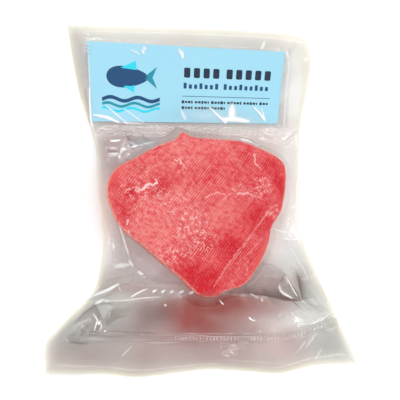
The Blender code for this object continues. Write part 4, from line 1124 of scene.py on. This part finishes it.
def makeSteak():
    bearing = 2.0 * math.pi * np.arange(steak["segments"]) / steak["segments"]
    reach = steakReach(bearing)
    ragged = roughness(60.0 * mm * np.cos(bearing), 60.0 * mm * np.sin(bearing), 6.0, 31.0, 3)
    reach = reach - steak["raggedness"] * mm * (0.5 + 0.5 * ragged)
    outs = list(np.linspace(0.0, 0.90, steak["topSteps"] + 1)[1:])
    shares = [(out, (1.0 - out**rimPower) ** (1.0 / rimPower)) for out in outs]
    start = math.asin(shares[-1][1] ** (rimPower / 2.0))
    for turn in np.linspace(start, 0.0, steak["rimSteps"] + 1)[1:]:
        shares.append((math.cos(turn) ** (2.0 / rimPower), math.sin(turn) ** (2.0 / rimPower)))
    for turn in np.linspace(0.0, math.pi / 2, steak["lowerSteps"] + 2)[1:-1]:
        shares.append((math.cos(turn) ** (2.0 / rimPower), -math.sin(turn) ** (2.0 / rimPower)))
    rings = []
    for out, rise in shares:
        plan = steakCentre + (reach * out)[:, None] * np.column_stack((np.cos(bearing), np.sin(bearing)))
        z = np.full(len(bearing), steakMiddleZ + rise * steakHalf)
        if rise > 0.0:
            z = z + steakSurface(*plan.T, out)
        else:
            z = z + 0.2 * mm * roughness(*plan.T, 18.0, 41.0, 2) * smoothStep((0.97 - out) / 0.12) + 0.1 * mm
        bulge = 0.5 * mm * roughness(bearing * 30 * mm, np.full(len(bearing), rise * 9 * mm), 8.0, 43.0, 2)
        side = hump(np.array(rise))
        plan = plan + (bulge * side)[:, None] * np.column_stack((np.cos(bearing), np.sin(bearing)))
        rings.append(np.column_stack((plan, z)))
    obj = wrapRings("tuna_steak_flesh", rings, (*steakCentre, rings[0][:, 2].mean()),
                    (*steakCentre, rings[-1][:, 2].mean()))
    paintSteak(obj)
    obj.data.materials.append(makeFleshMaterial())
    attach(obj, "root")
    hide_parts("tuna_steak")
    print("steak:", len(obj.data.polygons), "faces")


def paintSteak(obj):
    x, y, z = readPlaces(obj).T
    inside = -outsideOf(steakCurve, x, y)
    upper = z > steakMiddleZ
    wobble = roughness(x, y, 10.0, 51.0, 3)
    deep = np.zeros(len(x))
    for centre, reach, amount in deepZones:
        deep += amount * zone(x, y, centre, reach)
    pale = np.zeros(len(x))
    for centre, reach, amount in paleZones:
        pale += amount * zone(x, y, centre, reach)
    frost = np.zeros(len(x))
    jitter = 0.35 * mm * roughness(x, y, 1.6, 53.0, 2)
    for points, width, amount in frostLines:
        away, share = toPolyline(x + jitter, y - jitter, points, 3.0 * width * mm)
        frost = np.maximum(frost, amount * smoothStep(1.3 - away / (width * mm)))
    patch = np.zeros(len(x))
    for centre, reach, amount in frostPatches:
        patch += amount * zone(x, y, centre, reach)
    # the rim is broad and plain along the right and at the upper left, thin elsewhere
    broad = 1.1 + 3.2 * zone(x, y, (32.0, -42.0), (16.0, 18.0)) + 4.0 * zone(x, y, (-58.0, 12.0), (9.0, 7.0))
    broad += 0.7 * zone(x, y, (48.0, 18.0), (12.0, 10.0)) + 1.2 * zone(x, y, (0.0, 38.0), (22.0, 5.0))
    rim = smoothStep(1.0 - (inside / mm - 0.2 * broad + wobble * 1.2) / broad)
    rim = np.where(upper, rim, 1.0)
    toRight = smoothStep((x - 0.8 * y + 25.0 * mm) / (75.0 * mm))
    setAttribute(obj, "deep", np.clip(deep * (1.0 + 0.6 * wobble) + 0.22 * toRight, 0.0, 1.0))
    setAttribute(obj, "pale", np.clip(pale * (1.0 + 0.5 * wobble) + 0.16 * (1.0 - toRight), 0.0, 1.0))
    setAttribute(obj, "frost", np.where(upper, np.clip(frost, 0.0, 1.0), 0.0))
    setAttribute(obj, "patch", np.where(upper, np.clip(patch, 0.0, 1.0), 0.0))
    setAttribute(obj, "rim", np.clip(rim, 0.0, 1.0))
    setAttribute(obj, "paleEdge", np.where(upper, hump(np.clip((inside / mm - 0.6) / 1.2, -1.0, 1.0)), 0.0))
    setAttribute(obj, "fan", sawFan(x, y))


def makeFleshMaterial():
    made, nodes, links, shader = newMaterial("tuna flesh", (0.76, 0.09, 0.10), 0.42)
    place = objectPlace(nodes, links)
    sawWay = math.radians(-steak["sawTurn"])
    broad = noiseNode(nodes, links, 55.0, 3.0, place)
    fine = noiseNode(nodes, links, 420.0, 4.0, place, 0.6)
    speck = noiseNode(nodes, links, 900.0, 2.0, place, 0.6)
    streaks = noiseNode(nodes, links, 60.0, 4.0, objectPlace(nodes, links, sawWay, (0.22, 1.6, 1.0)), 0.6)
    threadsNoise = noiseNode(nodes, links, 240.0, 3.0, objectPlace(nodes, links, sawWay, (0.3, 1.6, 1.0)), 0.6)

    # saw lines: pale, one for each pitch, that come and go
    wave = mathNode(nodes, links, "SINE", mathNode(nodes, links, "MULTIPLY", attributeNode(nodes, "fan"), 2.0 * math.pi))
    lines = rampNode(nodes, links, wave, 0.05, 0.90)
    gate = rampNode(nodes, links, threadsNoise, 0.36, 0.62)
    gate = mathNode(nodes, links, "MULTIPLY_ADD", gate, 0.75)
    gate.node.inputs[2].default_value = 0.25
    lines = mathNode(nodes, links, "MULTIPLY", lines, gate)
    notRim = mathNode(nodes, links, "SUBTRACT", 1.0, attributeNode(nodes, "rim"), True)
    lines = mathNode(nodes, links, "MULTIPLY", lines, notRim)
    notDeep = mathNode(nodes, links, "MULTIPLY_ADD", attributeNode(nodes, "deep"), -0.85)
    notDeep.node.inputs[2].default_value = 1.0
    lines = mathNode(nodes, links, "MULTIPLY", lines, notDeep)

    colour = mixColour(nodes, links, rampNode(nodes, links, broad, 0.35, 0.68), (0.68, 0.012, 0.032), (0.77, 0.066, 0.076))
    colour = mixColour(nodes, links, mathNode(nodes, links, "MULTIPLY", rampNode(nodes, links, streaks, 0.40, 0.66), 0.55),
                       colour, (0.83, 0.165, 0.162))
    colour = mixColour(nodes, links, mathNode(nodes, links, "MULTIPLY", attributeNode(nodes, "pale"), 0.7),
                       colour, (0.85, 0.215, 0.20))
    deepMix = mathNode(nodes, links, "MULTIPLY", attributeNode(nodes, "deep"), 0.92)
    colour = mixColour(nodes, links, deepMix, colour, (0.60, 0.004, 0.017))
    flecks = mathNode(nodes, links, "MULTIPLY", rampNode(nodes, links, fine, 0.48, 0.75), notDeep)
    colour = mixColour(nodes, links, mathNode(nodes, links, "MULTIPLY", flecks, 0.46), colour, (0.88, 0.34, 0.32))
    colour = mixColour(nodes, links, mathNode(nodes, links, "MULTIPLY", lines, 0.56), colour, (0.90, 0.42, 0.40))
    # short strokes across the saw lines where the face is frosty, and scattered specks
    strokes = bandNode(nodes, links, objectPlace(nodes, links, sawWay), 1.5, 3.0)
    strokes = rampNode(nodes, links, strokes, 0.55, 0.95)
    gaps = noiseNode(nodes, links, 520.0, 2.0, objectPlace(nodes, links, sawWay, (1.0, 0.5, 1.0)), 0.6)
    strokes = mathNode(nodes, links, "MULTIPLY", strokes, rampNode(nodes, links, gaps, 0.50, 0.60))
    frosty = mathNode(nodes, links, "MULTIPLY_ADD", attributeNode(nodes, "patch"), 0.75)
    frosty.node.inputs[2].default_value = 0.20
    strokes = mathNode(nodes, links, "MULTIPLY", strokes, mathNode(nodes, links, "MULTIPLY", frosty, notRim))
    colour = mixColour(nodes, links, mathNode(nodes, links, "MULTIPLY", strokes, 0.75), colour, (0.95, 0.56, 0.54))
    darker = rampNode(nodes, links, gaps, 0.50, 0.34)
    darker = mathNode(nodes, links, "MULTIPLY", darker, 0.50)
    colour = mixColour(nodes, links, mathNode(nodes, links, "MULTIPLY", darker, notRim), colour, (0.66, 0.012, 0.03))
    specks = mathNode(nodes, links, "MULTIPLY", rampNode(nodes, links, speck, 0.66, 0.74), 0.5)
    specks = mathNode(nodes, links, "MULTIPLY", specks, notDeep)
    colour = mixColour(nodes, links, specks, colour, (0.95, 0.52, 0.48))
    rimMix = mathNode(nodes, links, "MULTIPLY", attributeNode(nodes, "rim"), 0.7)
    colour = mixColour(nodes, links, rimMix, colour, (0.82, 0.135, 0.115))
    paleEdge = mathNode(nodes, links, "MULTIPLY", attributeNode(nodes, "paleEdge"), rampNode(nodes, links, fine, 0.3, 0.6))
    colour = mixColour(nodes, links, mathNode(nodes, links, "MULTIPLY", paleEdge, 0.8), colour, (0.95, 0.46, 0.37))

    # frost: broken threads in patches and along the drawn lines
    maze = addNode(nodes, "ShaderNodeTexVoronoi", feature="DISTANCE_TO_EDGE")
    maze.inputs["Scale"].default_value = 520.0
    links.new(objectPlace(nodes, links, 0.6, (1.0, 0.8, 1.0)), maze.inputs["Vector"])
    threads = rampNode(nodes, links, mathNode(nodes, links, "SUBTRACT", 0.16, maze.outputs["Distance"]), 0.0, 0.12)
    broken = rampNode(nodes, links, noiseNode(nodes, links, 330.0, 3.0, place, 0.6), 0.50, 0.58)
    threads = mathNode(nodes, links, "MULTIPLY", threads, broken)
    threads = mathNode(nodes, links, "MULTIPLY", threads, attributeNode(nodes, "patch"))
    drawn = mathNode(nodes, links, "MULTIPLY", attributeNode(nodes, "frost"), rampNode(nodes, links, speck, 0.25, 0.50))
    frost = mathNode(nodes, links, "MAXIMUM", mathNode(nodes, links, "MULTIPLY", threads, 0.85), drawn)
    frost = mathNode(nodes, links, "MULTIPLY", frost, 0.85)
    colour = mixColour(nodes, links, frost, colour, (0.99, 0.82, 0.80))
    colour = mixColour(nodes, links, 1.0, colour, (0.962, 0.95, 0.955), "MULTIPLY")
    links.new(colour, shader.inputs["Base Color"])

    rough = mathNode(nodes, links, "MULTIPLY_ADD", fine, 0.2)
    rough.node.inputs[2].default_value = 0.38
    links.new(rough, shader.inputs["Roughness"])
    shader.inputs["Specular IOR Level"].default_value = 0.12
    shader.inputs["Subsurface Weight"].default_value = 0.12
    shader.inputs["Subsurface Radius"].default_value = (1.0, 0.25, 0.15)
    shader.inputs["Subsurface Scale"].default_value = 0.0025
    height = mathNode(nodes, links, "ADD", mathNode(nodes, links, "MULTIPLY", fine, 0.5),
                      mathNode(nodes, links, "MULTIPLY", lines, 0.4))
    links.new(bumpNode(nodes, links, height, 0.4, 0.4), shader.inputs["Normal"])
    return made


# ---------- card and its print ----------
def cardTop(x, y):
    return filmUnder(x, y) + (card["lift"] + card["thickness"]) * mm


def layOnCard(obj, height):
    # bends a flat piece, made in the card's own millimetres, onto the card
    co = readPlaces(obj)
    x, y = cardPlace(co[:, 0], co[:, 1])
    z = cardTop(x, y) + height * mm + co[:, 2] * mm
    obj.data.vertices.foreach_set("co", np.column_stack((x, y, z)).astype(np.float32).ravel())
    obj.location = (0.0, 0.0, 0.0)
    obj.data.update()


def makeCard():
    thick = card["thickness"]
    bpy.ops.object.select_all(action="DESELECT")
    bpy.ops.mesh.primitive_grid_add(x_subdivisions=40, y_subdivisions=24, size=1.0)
    obj = bpy.context.object
    obj.name = "label_card_sheet"
    bpy.ops.object.mode_set(mode="EDIT")
    bpy.ops.mesh.select_all(action="SELECT")
    bpy.ops.transform.resize(value=(2.0 * card["half"][0], 2.0 * card["half"][1], 1.0))
    bpy.ops.mesh.extrude_region_move(TRANSFORM_OT_translate={"value": (0.0, 0.0, thick)})
    bpy.ops.mesh.select_all(action="SELECT")
    bpy.ops.mesh.normals_make_consistent(inside=False)
    bpy.ops.object.mode_set(mode="OBJECT")
    layOnCard(obj, -thick)
    obj.data.materials.append(makeCardMaterial())
    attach(obj, "root")
    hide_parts("label_card")
    print("card:", len(obj.data.polygons), "faces")


def makeCardMaterial():
    made, nodes, links, shader = newMaterial("printed card", (0.36, 0.72, 0.90), 0.35)
    place = objectPlace(nodes, links)
    fibre = noiseNode(nodes, links, 700.0, 3.0, place)
    cloud = noiseNode(nodes, links, 18.0, 2.0, place)
    colour = mixColour(nodes, links, cloud, (0.315, 0.70, 0.90), (0.365, 0.735, 0.905))
    colour = mixColour(nodes, links, mathNode(nodes, links, "MULTIPLY", fibre, 0.12), colour, (0.60, 0.86, 0.96))
    links.new(colour, shader.inputs["Base Color"])
    rough = mathNode(nodes, links, "MULTIPLY_ADD", fibre, 0.15)
    rough.node.inputs[2].default_value = 0.38
    links.new(rough, shader.inputs["Roughness"])
    links.new(bumpNode(nodes, links, fibre, 0.15, 0.1), shader.inputs["Normal"])
    return made


def makeInk(name, colour):
    made, nodes, links, shader = newMaterial(name, colour, 0.4)
    place = objectPlace(nodes, links)
    grain = noiseNode(nodes, links, 1100.0, 2.0, place)
    lighter = tuple(min(1.0, c * 1.25 + 0.02) for c in colour)
    links.new(mixColour(nodes, links, grain, colour, lighter), shader.inputs["Base Color"])
    shader.inputs["Specular IOR Level"].default_value = 0.08
    return made


# Generic print: a fish over waves at the left, and plain dashes where the wording would be
printing = {
    "inkThickness": 0.04,
    "inkLift": 0.02,
    "fish": (-39.0, 4.2), "fishScale": 1.3,
    "waves": ((-39.0, -11.4), (-39.0, -15.4), (-39.0, -18.8)), "waveHalf": 20.0,
    "titleStart": (-2.2, 8.8), "titleGroups": (4, 5), "titleHeight": 7.2, "titlePitch": 6.75, "titleWidth": 4.3,
    "subtitleStart": (-2.4, -0.6), "subtitleHeight": 4.2,
    "rule": (-3.4, -8.2, 63.0, 0.4),
    "smallLines": ((-3.6, -12.4, 62.5, 2.1), (-3.6, -16.6, 32.0, 2.1)),
}


def inkPiece(name, obj, ink):
    # gives a flat outline its ink thickness and lays it on the card
    bpy.ops.object.select_all(action="DESELECT")
    bpy.context.view_layer.objects.active = obj
    obj.select_set(True)
    obj.name = name
    bpy.ops.object.mode_set(mode="EDIT")
    bpy.ops.mesh.select_all(action="SELECT")
    bpy.ops.mesh.extrude_region_move(TRANSFORM_OT_translate={"value": (0.0, 0.0, printing["inkThickness"])})
    bpy.ops.mesh.select_all(action="SELECT")
    bpy.ops.mesh.normals_make_consistent(inside=False)
    bpy.ops.object.mode_set(mode="OBJECT")
    layOnCard(obj, printing["inkLift"])
    obj.data.materials.append(ink)
    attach(obj, "root")


def flatShape(outline):
    # a face from an outline in the card's millimetres, by way of a circle primitive
    bpy.ops.object.select_all(action="DESELECT")
    bpy.ops.mesh.primitive_circle_add(vertices=len(outline), radius=1.0, fill_type="NGON")
    obj = bpy.context.object
    for vert, (px, py) in zip(obj.data.vertices, outline):
        vert.co = (px, py, 0.0)
    return obj


def joined(objs):
    bpy.ops.object.select_all(action="DESELECT")
    for obj in objs:
        obj.select_set(True)
    bpy.context.view_layer.objects.active = objs[0]
    bpy.ops.object.join()
    return bpy.context.object


def bar(x, y, width, height, corner=0.4):
    # a rounded bar from its left end and its middle height
    points = []
    for cx, cy, first in ((x + width - corner, y + height / 2 - corner, 0), (x + corner, y + height / 2 - corner, 90),
                          (x + corner, y - height / 2 + corner, 180), (x + width - corner, y - height / 2 + corner, 270)):
        for step in range(4):
            a = math.radians(first + step * 30)
            points.append((cx + corner * math.cos(a), cy + corner * math.sin(a)))
    return flatShape(points)


def makePrint():
    navy = makeInk("navy ink", (0.006, 0.020, 0.050))
    deepBlue = makeInk("deep blue ink", (0.003, 0.060, 0.170))
    teal = makeInk("teal ink", (0.008, 0.26, 0.36))
    cyan = makeInk("cyan ink", (0.02, 0.62, 0.80))

    (fx, fy), k = printing["fish"], printing["fishScale"]
    body = [(fx - 2.0 + 11.0 * k * math.cos(t), fy + 5.6 * k * math.sin(t) * (1.0 - 0.3 * math.cos(t)))
            for t in np.linspace(0.0, 2.0 * math.pi, 40, endpoint=False)]
    tail = [(fx + 7.0 * k, fy), (fx + 14.0 * k, fy + 6.0 * k), (fx + 11.6 * k, fy), (fx + 14.0 * k, fy - 6.0 * k)]
    upperFin = [(fx - 5.0 * k, fy + 4.8 * k), (fx + 3.0 * k, fy + 8.8 * k), (fx + 3.4 * k, fy + 3.4 * k)]
    lowerFin = [(fx - 4.0 * k, fy - 5.0 * k), (fx + 1.5 * k, fy - 8.4 * k), (fx + 2.4 * k, fy - 3.8 * k)]
    inkPiece("print_fish_body", flatShape(body), deepBlue)
    inkPiece("print_fish_tail", flatShape(tail[::-1]), teal)
    inkPiece("print_fish_upper_fin", flatShape(upperFin[::-1]), cyan)
    inkPiece("print_fish_lower_fin", flatShape(lowerFin), cyan)
    half = printing["waveHalf"]
    for i, ((wx, wy), ink, thick) in enumerate(zip(printing["waves"], (deepBlue, teal, cyan), (2.6, 1.9, 1.7))):
        upper = [(wx + s, wy + 1.3 * math.sin(s / 3.0 + 0.8 * i) + thick / 2) for s in np.linspace(-half, half, 56)]
        lower = [(px, py - thick) for px, py in reversed(upper)]
        inkPiece(f"print_wave_{i + 1}", flatShape((upper + lower)[::-1]), ink)

    x, y = printing["titleStart"]
    bars = []
    for letters in printing["titleGroups"]:
        for _ in range(letters):
            bars.append(bar(x, y, printing["titleWidth"], printing["titleHeight"], 1.0))
            x += printing["titlePitch"]
        x += 2.6
    inkPiece("print_title", joined(bars), navy)
    x, y = printing["subtitleStart"]
    bars = []
    for letters in (7, 9):
        for letter in range(letters):
            tall = letter % 3 == 0
            lift = 0.0 if tall else -0.5
            bars.append(bar(x, y + lift, 2.1, printing["subtitleHeight"] * (1.0 if tall else 0.74), 0.4))
            x += 3.7
        x += 2.4
    inkPiece("print_subtitle", joined(bars), deepBlue)
    inkPiece("print_rule", bar(*printing["rule"], corner=0.1), deepBlue)
    for i, (x, y, length, height) in enumerate(printing["smallLines"]):
        bars, step, end = [], 0, x + length
        while x < end:
            width = (1.8, 1.4, 2.0, 1.0, 1.7)[step % 5]
            bars.append(bar(x, y, width, height * (1.0, 0.75, 0.75)[step % 3], 0.25))
            x += width + (0.55, 0.5, 0.6, 0.5, 1.6)[(step * 3) % 5]
            step += 1
        inkPiece(f"print_small_line_{i + 1}", joined(bars), navy)
    print("print: done")


# ---------- floor, lights, camera ----------
stageSettings = {
    "floorSize": 4.0,
    "cameraPlace": (-64.8, -63.6, 441.4),
    "cameraAim": (-2.8, -1.6, 0.0),
    "lens": 59.58,
    "worldStrength": 0.86,
    "tableGlow": 0.07,
}
lights = {
    "left strip": {"place": (-0.62, 0.10, 0.85), "size": (0.14, 0.60), "power": 1.3},
    "right strip": {"place": (0.60, 0.00, 0.85), "size": (0.14, 0.60), "power": 1.2},
    "far strip": {"place": (0.05, 0.75, 0.85), "size": (0.60, 0.14), "power": 1.5},
    "near strip": {"place": (0.10, -0.85, 0.70), "size": (0.50, 0.14), "power": 0.7},
}


def makeStage():
    bpy.ops.object.select_all(action="DESELECT")
    bpy.ops.mesh.primitive_plane_add(size=stageSettings["floorSize"], location=(0.0, 0.0, -0.0002))
    floor = bpy.context.object
    floor.name = "floor"
    made, nodes, links, shader = newMaterial("white light table", (0.9, 0.9, 0.9), 0.6)
    shader.inputs["Emission Color"].default_value = (1.0, 1.0, 1.0, 1.0)
    shader.inputs["Emission Strength"].default_value = stageSettings["tableGlow"]
    floor.data.materials.append(made)

    world = bpy.data.worlds.new("studio")
    bpy.context.scene.world = world
    world.use_nodes = True
    background = world.node_tree.nodes["Background"]
    background.inputs["Color"].default_value = (1.0, 1.0, 1.0, 1.0)
    background.inputs["Strength"].default_value = stageSettings["worldStrength"]

    for name, light in lights.items():
        bpy.ops.object.light_add(type="AREA", location=light["place"])
        lamp = bpy.context.object
        lamp.name = name
        lamp.data.shape = "RECTANGLE"
        lamp.data.size, lamp.data.size_y = light["size"]
        lamp.data.energy = light["power"]
        aim = Vector((0.0, 0.0, 0.0)) - Vector(light["place"])
        lamp.rotation_euler = aim.to_track_quat("-Z", "Y").to_euler()

    place = Vector(stageSettings["cameraPlace"]) * mm
    forward = (Vector(stageSettings["cameraAim"]) * mm - place).normalized()
    right = forward.cross(Vector((0.0, 1.0, 0.0))).normalized()
    up = right.cross(forward)
    bpy.ops.object.camera_add(location=place)
    camera = bpy.context.object
    camera.rotation_euler = Matrix((right, up, -forward)).transposed().to_euler()
    camera.data.lens = stageSettings["lens"]
    camera.data.sensor_width = 36.0
    camera.data.clip_start = 0.01
    bpy.context.scene.camera = camera
    bpy.context.scene.view_settings.view_transform = "Standard"
    print("stage: done")


makeSteak()
makeCard()
makePrint()
makeFilm()
makeStage()
